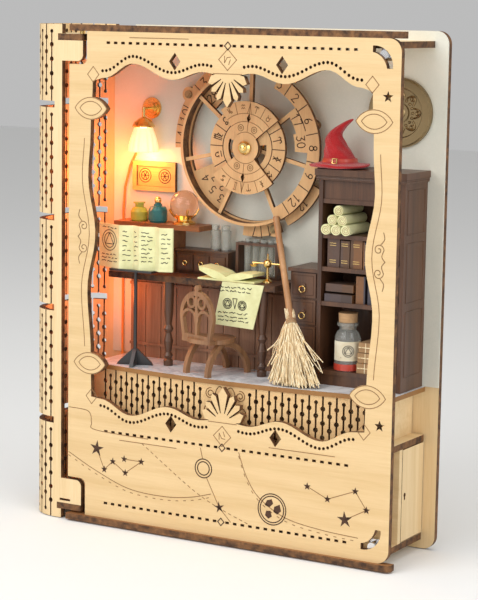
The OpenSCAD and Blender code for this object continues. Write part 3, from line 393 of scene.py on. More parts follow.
looks = {
    "frontPly": cutPly("frontPly", (0.76, 0.555, 0.30), (0.61, 0.41, 0.185), "y", "x"),
    "chairPly": plainWood("chairPly", (0.36, 0.185, 0.085), (0.13, 0.055, 0.022), "z", 0.45, 0.1),
    "spinePly": cutPly("spinePly", birch["light"], birch["dark"], "spine", "z"),
    "boardPly": cutPly("boardPly", birch["light"], birch["dark"], "z", "x"),
    "uprightPly": cutPly("uprightPly", birch["light"], birch["dark"], "upright", "x"),
    "wallPly": cutPly("wallPly", birch["light"], birch["dark"], "x", "z"),
    "backPly": cutPly("backPly", birch["light"], birch["dark"], "y", "z"),
    "railPly": cutPly("railPly", (0.76, 0.52, 0.26), (0.60, 0.37, 0.16), "y", "x"),
    "bandPly": cutPly("bandPly", (0.36, 0.16, 0.05), (0.16, 0.06, 0.02), "z", "x"),
    "dialPly": cutPly("dialPly", (0.70, 0.43, 0.20), (0.50, 0.27, 0.11), "y", "z"),
    "deskPly": cutPly("deskPly", walnut["light"], walnut["dark"], "z", "x", walnutEdge),
    "darkPly": plainWood("darkPly", walnut["light"], walnut["dark"], "z", 0.42, 0.15),
    "panelPly": plainWood("panelPly", redBrown["light"], redBrown["dark"], "z", 0.5),
    "shelfPly": plainWood("shelfPly", (0.34, 0.13, 0.04), (0.10, 0.03, 0.01), "x", 0.45),
    "stickWood": plainWood("stickWood", (0.50, 0.27, 0.12), (0.30, 0.13, 0.05), "z", 0.5),
    "cork": plainWood("cork", (0.60, 0.38, 0.20), (0.36, 0.19, 0.08), "x", 0.9),
    "burnt": paint("burntLine", (0.055, 0.022, 0.009), 0.85),
    "scorch": paint("scorchLine", (0.22, 0.11, 0.04), 0.85),
    "ink": paint("ink", (0.02, 0.014, 0.010), 0.8),
    "brass": metal("brass", (0.88, 0.62, 0.24), (0.50, 0.30, 0.09), 0.20, 0.55),
    "oldBrass": metal("oldBrass", (0.34, 0.24, 0.12), (0.055, 0.035, 0.02), 0.34, 0.45),
    "steel": metal("steel", (0.70, 0.70, 0.71), (0.42, 0.42, 0.43), 0.22, 0.6),
    "blackMetal": paint("blackMetal", (0.012, 0.012, 0.013), 0.32, 0.3),
    "blackPlastic": paint("blackPlastic", (0.02, 0.02, 0.021), 0.5),
    "cellSkin": paint("cellSkin", (0.06, 0.065, 0.07), 0.28, 0.6),
    "wallPaper": wallPaper(),
    "marble": marble(),
    "shadeGlow": glowing("shadeGlow", (0.90, 0.80, 0.62), (1.0, 0.62, 0.26), 0.9),
    "ledGlow": glowing("ledGlow", (1, 0.9, 0.7), (1.0, 0.82, 0.5), 14.0),
    # the lamp wire glows: a painted orange glow standing for the lamplight falling on it, not a lamp
    "wirePaintedGlow": glowing("wirePaintedGlow", (0.60, 0.16, 0.04), (1.0, 0.25, 0.03), 0.25),
    "frameWood": cutPly("frameWood", (0.72, 0.44, 0.15), (0.50, 0.27, 0.08), "y", "x"),
    "green": glazed("greenGlass", (0.62, 0.72, 0.12), 0.35),
    "blue": glazed("blueGlass", (0.05, 0.28, 0.30), 0.35),
    "ball": glazed("ballGlass", (1.0, 0.90, 0.78), 0.95, 0.015),
    "clear": glazed("clearGlass", (0.93, 0.94, 0.88), 0.80, 0.03),
    "parchment": paper("parchment", (0.80, 0.80, 0.42), (0.66, 0.62, 0.26)),
    "leafGreen": paper("leafGreen", (0.76, 0.76, 0.44), (0.60, 0.58, 0.28)),
    "label": paper("label", (0.80, 0.74, 0.58), (0.62, 0.52, 0.34)),
    "kraft": paper("kraft", (0.42, 0.26, 0.13), (0.26, 0.14, 0.06)),
    "spines": leatherSpines(),
    "felt": felt(),
    "straw": straw(),
    "redPaint": paint("redPaint", (0.45, 0.04, 0.02), 0.4, 0.3),
}
print(len(looks), "finishes made")

nodeLooks = {
    "spine": "spinePly", "back_cover": "backPly", "wall_lining": "wallPaper",
    "top_board": "boardPly", "bottom_board": "boardPly", "base_walls": "uprightPly",
    "base_top": "boardPly", "stage_floor": "marble", "railing": "railPly",
    "box_magnets": "steel", "wheel_axle": "brass", "axle_cap": "brass",
    "number_dial": "dialPly", "dial_pins": "oldBrass", "lamp_bracket": "brass",
    # lamp_wire takes the wire's painted glow, standing for lamplight on it
    "lamp_led": "ledGlow", "lamp_wire": "wirePaintedGlow", "battery_box": "blackPlastic",
    "battery_cells": "cellSkin", "wall_shelf": "shelfPly", "picture_frame": "frameWood",
    "green_bottle": "green", "blue_bottle": "blue", "crystal_ball": "ball",
    "ball_stand": "brass", "music_stand": "blackMetal", "music_pages": "leafGreen",
    "desk_top": "deskPly", "desk_legs": "darkPly", "desk_panels": "panelPly",
    "desk_drawers": "darkPly", "tube_rack": "darkPly", "test_tubes": "clear",
    "brass_balance": "brass", "open_book": "parchment", "letter": "leafGreen",
    "chair": "chairPly", "drawer_chest": "darkPly", "broom_handle": "stickWood",
    "bookcase": "darkPly", "scrolls": "leafGreen", "books": "spines", "jar": "clear",
    "jar_cork": "cork", "box_stack": "kraft", "front_cover": "frontPly",
    "cover_top_band": "bandPly", "cover_bottom_band": "bandPly", "cover_magnets": "steel",
    "hinge_pins": "brass", "spoked_wheel": "dialPly", "zodiac_disc": "dialPly",
    "pointer_disc": "dialPly", "drawer_front": "wallPly", "drawer_tray": "uprightPly",
    "power_switch": "blackPlastic",
}
for name, look in nodeLooks.items():
    nodes[name].data.materials.clear()
    nodes[name].data.materials.append(looks[look])


# Making pieces
def onlyThis(piece):
    bpy.ops.object.select_all(action="DESELECT")
    piece.select_set(True)
    bpy.context.view_layer.objects.active = piece


def finishPiece(piece, name, look, body="box", smooth=40, stands=()):
    onlyThis(piece)
    bpy.ops.object.transform_apply(location=True, rotation=True, scale=True)
    piece.name = name
    piece.data.materials.clear()
    piece.data.materials.append(looks[look])
    if smooth:
        bpy.ops.object.shade_smooth_by_angle(angle=math.radians(smooth))
    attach(piece, body)
    if stands:
        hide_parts(*stands)
    return piece


def joined(pieces):
    bpy.ops.object.select_all(action="DESELECT")
    for piece in pieces:
        piece.select_set(True)
    bpy.context.view_layer.objects.active = pieces[0]
    bpy.ops.object.join()
    return bpy.context.object


def fromShape(name, points, faces):
    mesh = bpy.data.meshes.new(name)
    mesh.from_pydata(points, [], faces)
    piece = bpy.data.objects.new(name, mesh)
    bpy.context.scene.collection.objects.link(piece)
    return piece


def loft(name, rings):  # closed skin through rings of equal count
    count = len(rings[0])
    points = [point for ring in rings for point in ring]
    faces = [list(range(count))[::-1]]
    for k in range(len(rings) - 1):
        for j in range(count):
            m = (j + 1) % count
            faces.append([k * count + j, k * count + m, (k + 1) * count + m, (k + 1) * count + j])
    faces.append([(len(rings) - 1) * count + j for j in range(count)])
    return fromShape(name, points, faces)


def wires(name, paths, radius, look, body="box", closed=False, sides=1):
    curve = bpy.data.curves.new(name, "CURVE")
    curve.dimensions = "3D"
    curve.bevel_depth = radius * mm
    curve.bevel_resolution = sides
    curve.use_fill_caps = True
    for path in paths:
        line = curve.splines.new("POLY")
        line.points.add(len(path) - 1)
        for point, place in zip(line.points, path):
            point.co = (*place, 1)
        line.use_cyclic_u = closed
    piece = bpy.data.objects.new(name, curve)
    bpy.context.scene.collection.objects.link(piece)
    onlyThis(piece)
    bpy.ops.object.convert(target="MESH")
    return finishPiece(bpy.context.object, name, look, body, 60)


# Flat strokes on a face that looks towards the front: width and place in millimetres
def strokeMesh(name, paths, width, y, proud=0.07, sunk=0.12):
    points = []
    faces = []
    for path in paths:
        for (x0, z0), (x1, z1) in zip(path[:-1], path[1:]):
            run = math.hypot(x1 - x0, z1 - z0)
            if run < 1e-6:
                continue
            ux, uz = (x1 - x0) / run, (z1 - z0) / run
            nx, nz = -uz * width / 2, ux * width / 2
            ex, ez = ux * width * 0.3, uz * width * 0.3
            corners = [(x0 - ex + nx, z0 - ez + nz), (x0 - ex - nx, z0 - ez - nz),
                       (x1 + ex - nx, z1 + ez - nz), (x1 + ex + nx, z1 + ez + nz)]
            base = len(points)
            points += [spot(x, y - proud, z) for x, z in corners]
            points += [spot(x, y + sunk, z) for x, z in corners]
            faces += [[base, base + 1, base + 2, base + 3],
                      [base + 7, base + 6, base + 5, base + 4]]
            for j in range(4):
                m = (j + 1) % 4
                faces.append([base + j, base + 4 + j, base + 4 + m, base + m])
    return fromShape(name, points, faces)


def strokes(name, paths, width, y, look, body="box"):
    return finishPiece(strokeMesh(name, paths, width, y), name, look, body, 0)


# Flat filled shapes on the same kind of face
def patches(name, outlines, y, look, body="box", proud=0.07, sunk=0.12):
    points = []
    faces = []
    for outline in outlines:
        area = sum(a[0] * b[1] - b[0] * a[1] for a, b in zip(outline, outline[1:] + outline[:1]))
        around = outline if area > 0 else outline[::-1]
        count = len(around)
        base = len(points)
        points += [spot(x, y - proud, z) for x, z in around]
        points += [spot(x, y + sunk, z) for x, z in around]
        faces.append([base + j for j in range(count)])
        faces.append([base + count + j for j in range(count)][::-1])
        for j in range(count):
            m = (j + 1) % count
            faces.append([base + j, base + count + j, base + count + m, base + m])
    return finishPiece(fromShape(name, points, faces), name, look, body, 0)


def arc(cx, cz, radius, start=0, end=360, steps=32, squeeze=1.0):
    turn = [math.radians(start + (end - start) * i / steps) for i in range(steps + 1)]
    return [(cx + radius * math.cos(a), cz + radius * squeeze * math.sin(a)) for a in turn]


def starAt(cx, cz, radius, inner=0.42, spin=90):
    outline = []
    for i in range(10):
        a = math.radians(spin + 36 * i)
        r = radius if i % 2 == 0 else radius * inner
        outline.append((cx + r * math.cos(a), cz + r * math.sin(a)))
    return outline


def dashes(path, length, gap):
    pieces = []
    travelled = 0.0
    for (x0, z0), (x1, z1) in zip(path[:-1], path[1:]):
        run = math.hypot(x1 - x0, z1 - z0)
        done = 0.0
        while done < run:
            phase = travelled % (length + gap)
            step = (length - phase) if phase < length else (length + gap - phase)
            step = min(step + 1e-6, run - done)
            if phase < length:
                a, b = done / run, (done + step) / run
                pieces.append([(x0 + (x1 - x0) * a, z0 + (z1 - z0) * a),
                               (x0 + (x1 - x0) * b, z0 + (z1 - z0) * b)])
            done += step
            travelled += step
    return pieces


def smoothPath(turning, steps=10):
    path = []
    for i in range(len(turning) - 1):
        before = turning[max(i - 1, 0)]
        a, b = turning[i], turning[i + 1]
        after = turning[min(i + 2, len(turning) - 1)]
        for k in range(steps):
            t = k / steps
            path.append(tuple(
                0.5 * (2 * a[n] + (b[n] - before[n]) * t
                       + (2 * before[n] - 5 * a[n] + 4 * b[n] - after[n]) * t * t
                       + (3 * a[n] - before[n] - 3 * b[n] + after[n]) * t ** 3)
                for n in range(len(a))))
    path.append(tuple(turning[-1]))
    return path


# The front cover's burnt drawing
coverMid = (coverHigh.x - coverLow.x) / mm / 2
windowTop, windowLow = 215.6, 62.0
sky = {
    "left": [(16.9, 37.2), (21.3, 27.4), (26.2, 31.9), (33.4, 27.2), (42.5, 33.8), (32.7, 33.9)],
    "right": [(132.3, 33.9), (142.8, 29.4), (156.8, 34.9), (162.6, 26.9), (151.8, 21.1)],
    "leftOrbit": [(0.4, 33.6), (16, 26.4), (35.1, 19.8), (55, 18.6), (70, 20.3), (81.4, 23.4)],
    "rightOrbit": [(96.1, 45), (100.5, 34), (107.6, 24.9), (121.5, 17.5), (140, 14.6), (158.6, 13.6)],
    "diagonal": [(42.7, 42.8), (75.3, 21.9), (102.7, 11.4)],
    "step": [(0.4, 55.8), (10.5, 55.4), (13.3, 53.2), (13.8, 49.4), (16.3, 46.2), (46, 45.3)],
}


def ovalPath(cx, cz, w, h):
    radius = (w * w + h * h) / (4 * h)
    half = math.degrees(math.asin(w / 2 / radius))
    upper = arc(cx, cz + h / 2 - radius, radius, 90 - half, 90 + half, 12)
    lower = arc(cx, cz - h / 2 + radius, radius, 270 - half, 270 + half, 12)
    return upper + lower[1:] + upper[:1]


def kite(cx, cz, w, h):
    return [(cx - w / 2, cz), (cx, cz - h / 2), (cx + w / 2, cz), (cx, cz + h / 2), (cx - w / 2, cz)]


def scrollMark(cx, cz, side):
    heart = []
    for flip in (1, -1):
        curl = []
        for i in range(22):
            a = i / 21 * 2.6 * math.pi
            r = 2.6 * (1 - i / 26)
            curl.append((cx + side * (math.cos(a) * r - 2.2), cz + flip * (5.2 + math.sin(a) * r)))
        heart.append(curl)
        heart.append(smoothPath([(cx + side * 0.4, cz + flip * 5.2), (cx - side * 0.6, cz + flip * 2.2),
                                 (cx + side * 1.0, cz)], 6))
        heart.append(smoothPath([(cx - side * 1.2, cz + flip * 7.6), (cx + side * 0.6, cz + flip * 10),
                                 (cx, cz + flip * 13)], 6))
    return heart


def coverDrawing():
    fine = []
    fine.append(sky["left"])
    fine.append(sky["right"])
    fine.append(smoothPath(sky["leftOrbit"], 8))
    fine.append(smoothPath(sky["rightOrbit"], 8))
    fine.append(smoothPath(sky["step"], 6))
    for orbit, drop in (("leftOrbit", 1.6), ("rightOrbit", 1.6)):
        lower = [(x, z - drop) for x, z in smoothPath(sky[orbit], 8)]
        fine += dashes(lower, 1.3, 3.0)
    fine += dashes(smoothPath(sky["diagonal"], 8), 1.5, 1.6)
    fine.append([(75.3, 44.7), (76.6, 39.7)])
    fine.append([(79, 30.6), (86, 17.6), (92.2, 11.4)])
    for side in (-1, 1):
        cx = coverMid + side * (coverMid - 12.4)
        for cz in (windowLow + 16.5, windowTop - 14.8):
            fine.append(ovalPath(cx, cz, 18.0, 10.3))
            fine.append(ovalPath(cx, cz, 12.4, 6.6))
            flip = 1 if cz > 120 else -1
            fine.append(kite(coverMid + side * (coverMid - 13.7), cz + flip * 16, 6.4, 7.4))
        edge = []
        lip = [(0, 73.6), (0.14, 74), (0.345, 76.1), (0.521, 71.7), (0.703, 75.9), (0.834, 74.7),
               (1, 73.6)]
        for i in range(25):
            t = 0.16 + 0.66 * i / 24
            for (t0, v0), (t1, v1) in zip(lip[:-1], lip[1:]):
                if t0 <= t <= t1:
                    ease = (1 - math.cos(math.pi * (t - t0) / (t1 - t0))) / 2
                    edge.append((coverMid + side * (v0 + (v1 - v0) * ease + 3.4),
                                 windowLow + 0.4 + t * (windowTop - windowLow - 2.2)))
        fine.append(edge)
        fine += scrollMark(coverMid + side * (coverMid - 6.4), 139.5, side)
    for cz, flip in ((windowTop + 3.6, 1), (windowLow - 4, -1)):
        fine.append([(coverMid - 7.6, cz), (coverMid + 7.6, cz)])
        fine.append(kite(coverMid, cz + flip * 6.4, 9.4, 9.6))
        fine.append([(coverMid - 1.6, cz + flip * 8), (coverMid - 1.6, cz + flip * 5),
                     (coverMid - 0.2, cz + flip * 7.4), (coverMid + 1.5, cz + flip * 7.6)])
        fine.append([(coverMid + 1.4, cz + flip * 6.4), (coverMid + 0.6, cz + flip * 4.2)])
    for x0, x1, cz in ((30, 62, windowLow - 19.2), (112, 146, windowLow - 12.6), (34, 66, 234.4)):
        fine.append([(x0, cz), (x1, cz)])
    strokes("coverFineLines", fine, 0.34, 0, "scorch", "cover")

    bold = [arc(77.1, 35.1, 4.5, steps=28), arc(77.1, 35.1, 3.2, steps=24)]
    bold += [arc(114.2, 20.6, 7.3, steps=36), arc(114.2, 20.6, 6.2, steps=30)]
    for cz in (231.8, windowLow - 15.8, 10.8):
        bold.append(kite(coverMid, cz, 3.4, 3.6))
    strokes("coverBoldLines", bold, 0.5, 0, "burnt", "cover")

    spots = [starAt(x, z, 1.9) for x, z in sky["left"][1:] + sky["right"][:4]]
    spots.append(starAt(*sky["left"][0], 4.1, 0.36, 84))
    spots.append(starAt(*sky["right"][4], 4.0, 0.36, 96))
    spots.append(starAt(86, 17.6, 2.9, 0.34, 100))
    spots.append([(111.5, 24.6), (114, 25.4), (114.8, 23.4), (112.8, 21.4), (110.4, 22.2)])
    spots.append([(115.4, 22), (118.2, 23.4), (119, 20.4), (117, 18.6), (115, 19.6)])
    spots.append([(111.2, 19.6), (113.4, 19.8), (114.2, 17.2), (112.4, 16), (110.6, 17.4)])
    patches("coverStars", spots, 0, "burnt", "cover")
    print("cover drawn")


# The decoder dial's signs
dialSet = {"x": 78.2, "z": 183.6, "number": 40.5, "wheel": 36.6, "symbol": 34.5, "pointer": 32.4}
digits = {
    "0": [arc(0.5, 0.8, 0.42, steps=14, squeeze=1.9)],
    "1": [[(0.2, 1.3), (0.5, 1.6), (0.5, 0)]],
    "2": [[(0.05, 1.25), (0.25, 1.55), (0.7, 1.55), (0.9, 1.2), (0.1, 0), (0.95, 0)]],
    "3": [[(0.1, 1.6), (0.85, 1.6), (0.4, 0.95), (0.8, 0.75), (0.85, 0.3), (0.5, 0), (0.1, 0.15)]],
    "4": [[(0.75, 0), (0.75, 1.6), (0.05, 0.5), (0.98, 0.5)]],
    "5": [[(0.85, 1.6), (0.2, 1.6), (0.15, 0.95), (0.7, 0.95), (0.88, 0.45), (0.6, 0), (0.1, 0.1)]],
    "6": [[(0.75, 1.55), (0.3, 1.1), (0.12, 0.5)], arc(0.5, 0.42, 0.38, steps=12)],
    "7": [[(0.1, 1.6), (0.9, 1.6), (0.4, 0)]],
    "8": [arc(0.5, 1.2, 0.34, steps=12), arc(0.5, 0.42, 0.42, steps=12)],
    "9": [arc(0.5, 1.15, 0.38, steps=12), [(0.88, 1.15), (0.7, 0.4), (0.35, 0)]],
}
signs = [
    [arc(0.28, 1.2, 0.25, 0, 200, 8), arc(0.72, 1.2, 0.25, 180, -20, 8), [(0.5, 1.2), (0.5, 0)]],
    [arc(0.5, 0.45, 0.4, steps=14), arc(0.5, 1.35, 0.5, 200, 340, 8)],
    [[(0.1, 1.6), (0.9, 1.6)], [(0.1, 0), (0.9, 0)], [(0.32, 0), (0.32, 1.6)], [(0.68, 0), (0.68, 1.6)]],
    [arc(0.3, 1.15, 0.2, steps=8), arc(0.7, 0.45, 0.2, steps=8), arc(0.55, 0.9, 0.5, 60, 150, 6),
     arc(0.45, 0.7, 0.5, 240, 330, 6)],
    [arc(0.3, 0.5, 0.22, steps=8), arc(0.5, 1.1, 0.36, 210, -20, 10), [(0.85, 1.0), (0.7, 0.3), (0.95, 0)]],
    [[(0.05, 1.5), (0.15, 0)], [(0.15, 1.2), (0.4, 1.5), (0.4, 0)],
     [(0.4, 1.2), (0.68, 1.5), (0.7, 0.2), (1, 0)],
     [(0.7, 1.0), (1.0, 0.9), (0.65, 0.1)]],
    [[(0.05, 0.1), (0.95, 0.1)], [(0.05, 0.6), (0.3, 0.6)], arc(0.5, 0.85, 0.32, -50, 230, 10),
     [(0.7, 0.6), (0.95, 0.6)]],
    [[(0.05, 1.5), (0.15, 0)], [(0.15, 1.2), (0.4, 1.5), (0.4, 0)],
     [(0.4, 1.2), (0.68, 1.5), (0.7, 0), (1, 0.3)]],
    [[(0.1, 0.1), (0.9, 1.5)], [(0.5, 1.5), (0.9, 1.5), (0.9, 1.0)], [(0.2, 0.8), (0.6, 0.4)]],
    [[(0.05, 1.5), (0.3, 0.4), (0.55, 1.4), (0.6, 0.3)], arc(0.78, 0.4, 0.2, steps=8)],
    [[(0.05, 1.1), (0.28, 1.4), (0.5, 1.1), (0.72, 1.4), (0.95, 1.1)],
     [(0.05, 0.5), (0.28, 0.8), (0.5, 0.5), (0.72, 0.8), (0.95, 0.5)]],
    [arc(-0.15, 0.8, 0.8, -60, 60, 8), arc(1.15, 0.8, 0.8, 120, 240, 8), [(0.15, 0.8), (0.85, 0.8)]],
]


def aroundDial(drawing, radius, angle, size):
    a = math.radians(angle)
    out = (math.cos(a), math.sin(a))
    side = (math.sin(a), -math.cos(a))
    cx = dialSet["x"] + out[0] * radius
    cz = dialSet["z"] + out[1] * radius
    return [[(cx + side[0] * (u - 0.5) * size + out[0] * (v - 0.8) * size,
              cz + side[1] * (u - 0.5) * size + out[1] * (v - 0.8) * size) for u, v in path]
            for path in drawing]


def numberAt(text, radius, angle, size):
    drawing = []
    for place, digit in enumerate(text):
        shift = (place - (len(text) - 1) / 2) * 1.15
        drawing += [[(u + shift, v) for u, v in path] for path in digits[digit]]
    return aroundDial(drawing, radius, angle, size)


def spoke(angle, inner, outer):
    a = math.radians(angle)
    return [(dialSet["x"] + r * math.cos(a), dialSet["z"] + r * math.sin(a)) for r in (inner, outer)]


def dialRing(radius, start=0, end=360, steps=48):
    return arc(dialSet["x"], dialSet["z"], radius, start, end, steps)


def dialSigns():
    rim = []
    for angle, text in ((62, "5"), (45, "2"), (24, "6"), (2, "8"), (-20, "9"), (-44, "12")):
        rim += numberAt(text, 34.2, angle, 2.6)
    for angle, radius, text in ((29, 28.6, "17"), (8, 27.8, "30")):
        rim += numberAt(text, radius, angle, 2.7)
    for angle in (54, 35, 13, -9, -31, -54):
        rim.append(spoke(angle, 31.2, 37.2))
    rim.append(dialRing(31.2, 17, 38, 10))
    strokes("rimMarks", rim, 0.45, dialSet["wheel"], "burnt", "wheel")

    marks = numberAt("28", 32.4, 135, 2.9) + numberAt("12", 37.6, -44, 2.4)
    for angle, text in ((133, "3"), (161, "10"), (174, "4"), (-88, "7"), (-77, "1")):
        marks += numberAt(text, 40.4, angle, 3.0)
    for angle, radius, text in ((212, 31, "4"), (224, 31, "5"), (235, 31, "3"), (217, 26, "7"),
                                (230, 26, "2")):
        marks += numberAt(text, radius, angle, 2.5)
    for angle in (139.5, 155, 168, 180, -83):
        marks.append(spoke(angle, 37.6, 43.4))
    strokes("numberMarks", marks, 0.45, dialSet["number"], "burnt", "box")

    ring = []
    for place in range(12):
        ring += aroundDial(signs[place], 16.8, 14 + 30 * place, 3.0)
        ring.append(spoke(-1 + 30 * place, 13.4, 20.2))
    ring.append(dialRing(13.4))
    strokes("symbolMarks", ring, 0.42, dialSet["symbol"], "burnt", "symbol_disc")

    arrows = []
    for start, end in ((38, 128), (218, 313)):
        middle = (start + end) / 2
        arrows.append(dialRing(16.2, start + 1, end - 1, 20))
        arrows.append(dialRing(12.4, start + 1, end - 1, 16))
        arrows.append(dialRing(7.4, start + 3, end - 3, 12))
        for k in range(1, 4):
            arrows.append(spoke(start + (end - start) * k / 4, 16.2, 21.6))
        for off in (-22, 22):
            cx = dialSet["x"] + 9.7 * math.cos(math.radians(middle + off))
            cz = dialSet["z"] + 9.7 * math.sin(math.radians(middle + off))
            arrows.append(arc(cx, cz, 1.5, steps=14))
            arrows.append(arc(cx, cz, 0.6, steps=8))
        for off in (-34, -11, 11, 34):
            arrows += aroundDial(signs[int(middle + off) % 12], 19, middle + off, 2.2)
        for off in (-3.5, 3.5):
            arrows.append([spoke(middle, 0, 21)[1], spoke(middle + off, 0, 16.4)[1]])
        arrows.append(spoke(middle, 7.6, 12.2))
    strokes("pointerMarks", arrows, 0.3, dialSet["pointer"], "scorch", "pointer")
    print("dial marked")


railSet = {"x": 85.4, "z": 70.2, "y": 4.97, "reach": 8.1}


def railEngraving():
    lines = []
    cx, cz = railSet["x"], railSet["z"]
    for side in (-1, 1):
        curl = []
        for i in range(34):
            a = math.radians(100 - 600 * i / 33)
            r = 2.7 * (1 - 0.72 * i / 33)
            curl.append((cx + side * (railSet["reach"] + r * math.cos(a)), cz + r * math.sin(a)))
        lines.append(curl)
        lines.append(smoothPath([(cx + side * 5.6, cz - 1.2), (cx + side * 4.9, cz + 1.6),
                                 (cx + side * 3.4, cz + 3.6), (cx + side * 1.6, cz + 3.0),
                                 (cx + side * 0.3, cz + 0.8)], 8))
        lines.append(smoothPath([(cx + side * 8.9, cz - 5.2), (cx + side * 10.8, cz - 6.4),
                                 (cx + side * 11.6, cz - 9)], 6))
    strokes("railScrolls", lines, 0.34, railSet["y"], "scorch")


# Written sheets
def scribble(x, z, width, height):
    count = max(3, int(width / 0.55))
    return [(x + width * i / count, z + (seed.random() - 0.5) * height) for i in range(count + 1)]


def writing(x0, x1, z0, z1, rows, height=0.7):
    lines = []
    for row in range(rows):
        z = z1 - (z1 - z0) * (row + 0.5) / rows
        x = x0
        while x < x1 - 1.2:
            word = min(1.2 + 2.6 * seed.random(), x1 - x)
            lines.append(scribble(x, z, word, height))
            x += word + 0.9
    return lines


def emblem(cx, cz, r):
    lines = [arc(cx, cz, r, steps=22), arc(cx, cz, r * 0.72, steps=18)]
    for k in range(3):
        a, b = math.radians(90 + 120 * k), math.radians(210 + 120 * k)
        lines.append([(cx + r * 0.7 * math.cos(a), cz + r * 0.7 * math.sin(a)),
                      (cx + r * 0.7 * math.cos(b), cz + r * 0.7 * math.sin(b))])
    return lines


def strokesOnFold(name, paths, width, look):  # strokes that lie on the folded pages
    fold = [(6.5, 16.5), (21, 12), (27, 15), (32, 12.6), (39, 15.6), (43, 13), (49, 15.6)]
    points = []
    faces = []

    def front(x):
        for (x0, y0), (x1, y1) in zip(fold[:-1], fold[1:]):
            if x <= x1:
                return y0 + (y1 - y0) * (x - x0) / (x1 - x0)
        return fold[-1][1]

    for path in paths:
        for (x0, z0), (x1, z1) in zip(path[:-1], path[1:]):
            run = math.hypot(x1 - x0, z1 - z0)
            if run < 1e-6:
                continue
            nx, nz = -(z1 - z0) / run * width / 2, (x1 - x0) / run * width / 2
            corners = [(x0 + nx, z0 + nz), (x0 - nx, z0 - nz), (x1 - nx, z1 - nz), (x1 + nx, z1 + nz)]
            base = len(points)
            points += [spot(x, front(x) - 0.07, z) for x, z in corners]
            points += [spot(x, front(x) + 0.1, z) for x, z in corners]
            faces += [[base, base + 1, base + 2, base + 3], [base + 7, base + 6, base + 5, base + 4]]
            for j in range(4):
                m = (j + 1) % 4
                faces.append([base + j, base + 4 + j, base + 4 + m, base + m])
    finishPiece(fromShape(name, points, faces), name, look, "box", 0)


def writtenSheets():
    pages = emblem(14, 137, 5) + writing(8.5, 19.5, 126, 131, 3)
    pages += writing(9, 19, 142.2, 144, 1)
    pages += writing(22.5, 26, 127, 143, 7) + writing(28, 31, 127, 143, 7)
    pages += writing(33, 38, 127, 143, 8) + writing(44, 48, 127, 143, 7)
    strokesOnFold("pageInk", pages, 0.36, "ink")

    low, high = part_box("letter")
    x = (low.x - coverLow.x) / mm
    letter = writing(x + 3, x + 21, 116, 119.5, 2, 0.9)
    letter += emblem(x + 7.6, 110.8, 2.4) + emblem(x + 15.6, 110.4, 2.2)
    letter += writing(x + 2.5, x + 19, 101.8, 107.4, 3, 0.8)
    letter += [[(x + 10.5, 113.4), (x + 12.8, 113.4), (x + 11.6, 108.6), (x + 10.5, 113.4)]]
    strokes("letterInk", letter, 0.36, (low.y - coverLow.y) / mm, "ink")
    print("sheets written")


# Soft and turned things
broomSet = {"neck": (115.5, 12.4, 107), "grip": (96.2, 31, 153), "straws": 300, "stray": 26}


def broom():
    low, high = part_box("broom_bristles")
    foot = Vector(((low.x + high.x) / 2, (low.y + high.y) / 2, low.z))
    neck = spot(*broomSet["neck"])
    lean = (spot(*broomSet["grip"]) - neck).normalized()
    halfX = (high.x - low.x) / 2 - 0.0006
    halfY = (high.y - low.y) / 2 - 0.0005
    paths = []
    for i in range(broomSet["straws"] + broomSet["stray"]):
        stray = i >= broomSet["straws"]
        angle = seed.random() * 2 * math.pi
        reach = 1.0 if stray else math.sqrt(seed.random()) * 0.94
        lift = (0.004 + 0.012 * seed.random()) if stray else 0.0032 * seed.random() * reach
        tip = Vector((foot.x + halfX * reach * math.cos(angle),
                      foot.y + halfY * reach * math.sin(angle), foot.z + 0.0003 + lift))
        start = neck + Vector((0.0018 * reach * math.cos(angle), 0.0018 * reach * math.sin(angle),
                               0.0012 - 0.003 * seed.random()))
        bend = (seed.random() - 0.5) * 0.0022
        sway = (seed.random() - 0.5) * 0.0016
        path = []
        for k in range(7):
            t = k / 6
            spread = t ** 1.25
            wobble = math.sin(math.pi * t) * bend + math.sin(2 * math.pi * t) * sway
            path.append(Vector((start.x + (tip.x - start.x) * spread + wobble,
                                start.y + (tip.y - start.y) * spread + wobble * 0.5,
                                start.z + (tip.z - start.z) * t)))
        paths.append(path)
    for i in range(26):  # straw ends that stand up round the handle
        angle = seed.random() * 2 * math.pi
        out = Vector((math.cos(angle), math.sin(angle), 0))
        top = neck + lean * (0.003 + 0.004 * seed.random())
        paths.append([neck - lean * 0.002 + out * 0.0017, neck + out * 0.0019, top + out * 0.0021])
    bristles = wires("broomStraw", paths, 0.27, "straw", sides=0)
    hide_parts("broom_bristles")
    turn = lean.to_track_quat("Z", "Y")
    rings = []
    for height, radius in ((-1.2, 2.3), (-0.6, 2.2), (0.0, 2.15), (0.6, 2.1)):
        centre = neck + lean * (height * mm)
        rings.append([centre + turn @ Vector((radius * mm * math.cos(a), radius * mm * math.sin(a), 0))
                      for a in [2 * math.pi * k / 20 for k in range(20)]])
    wires("broomTwine", rings, 0.3, "kraft", closed=True)
    print("broom bound")


hatSet = {"x": 129.6, "y": 30.3, "z": 177, "brim": 14.2, "folds": 7}


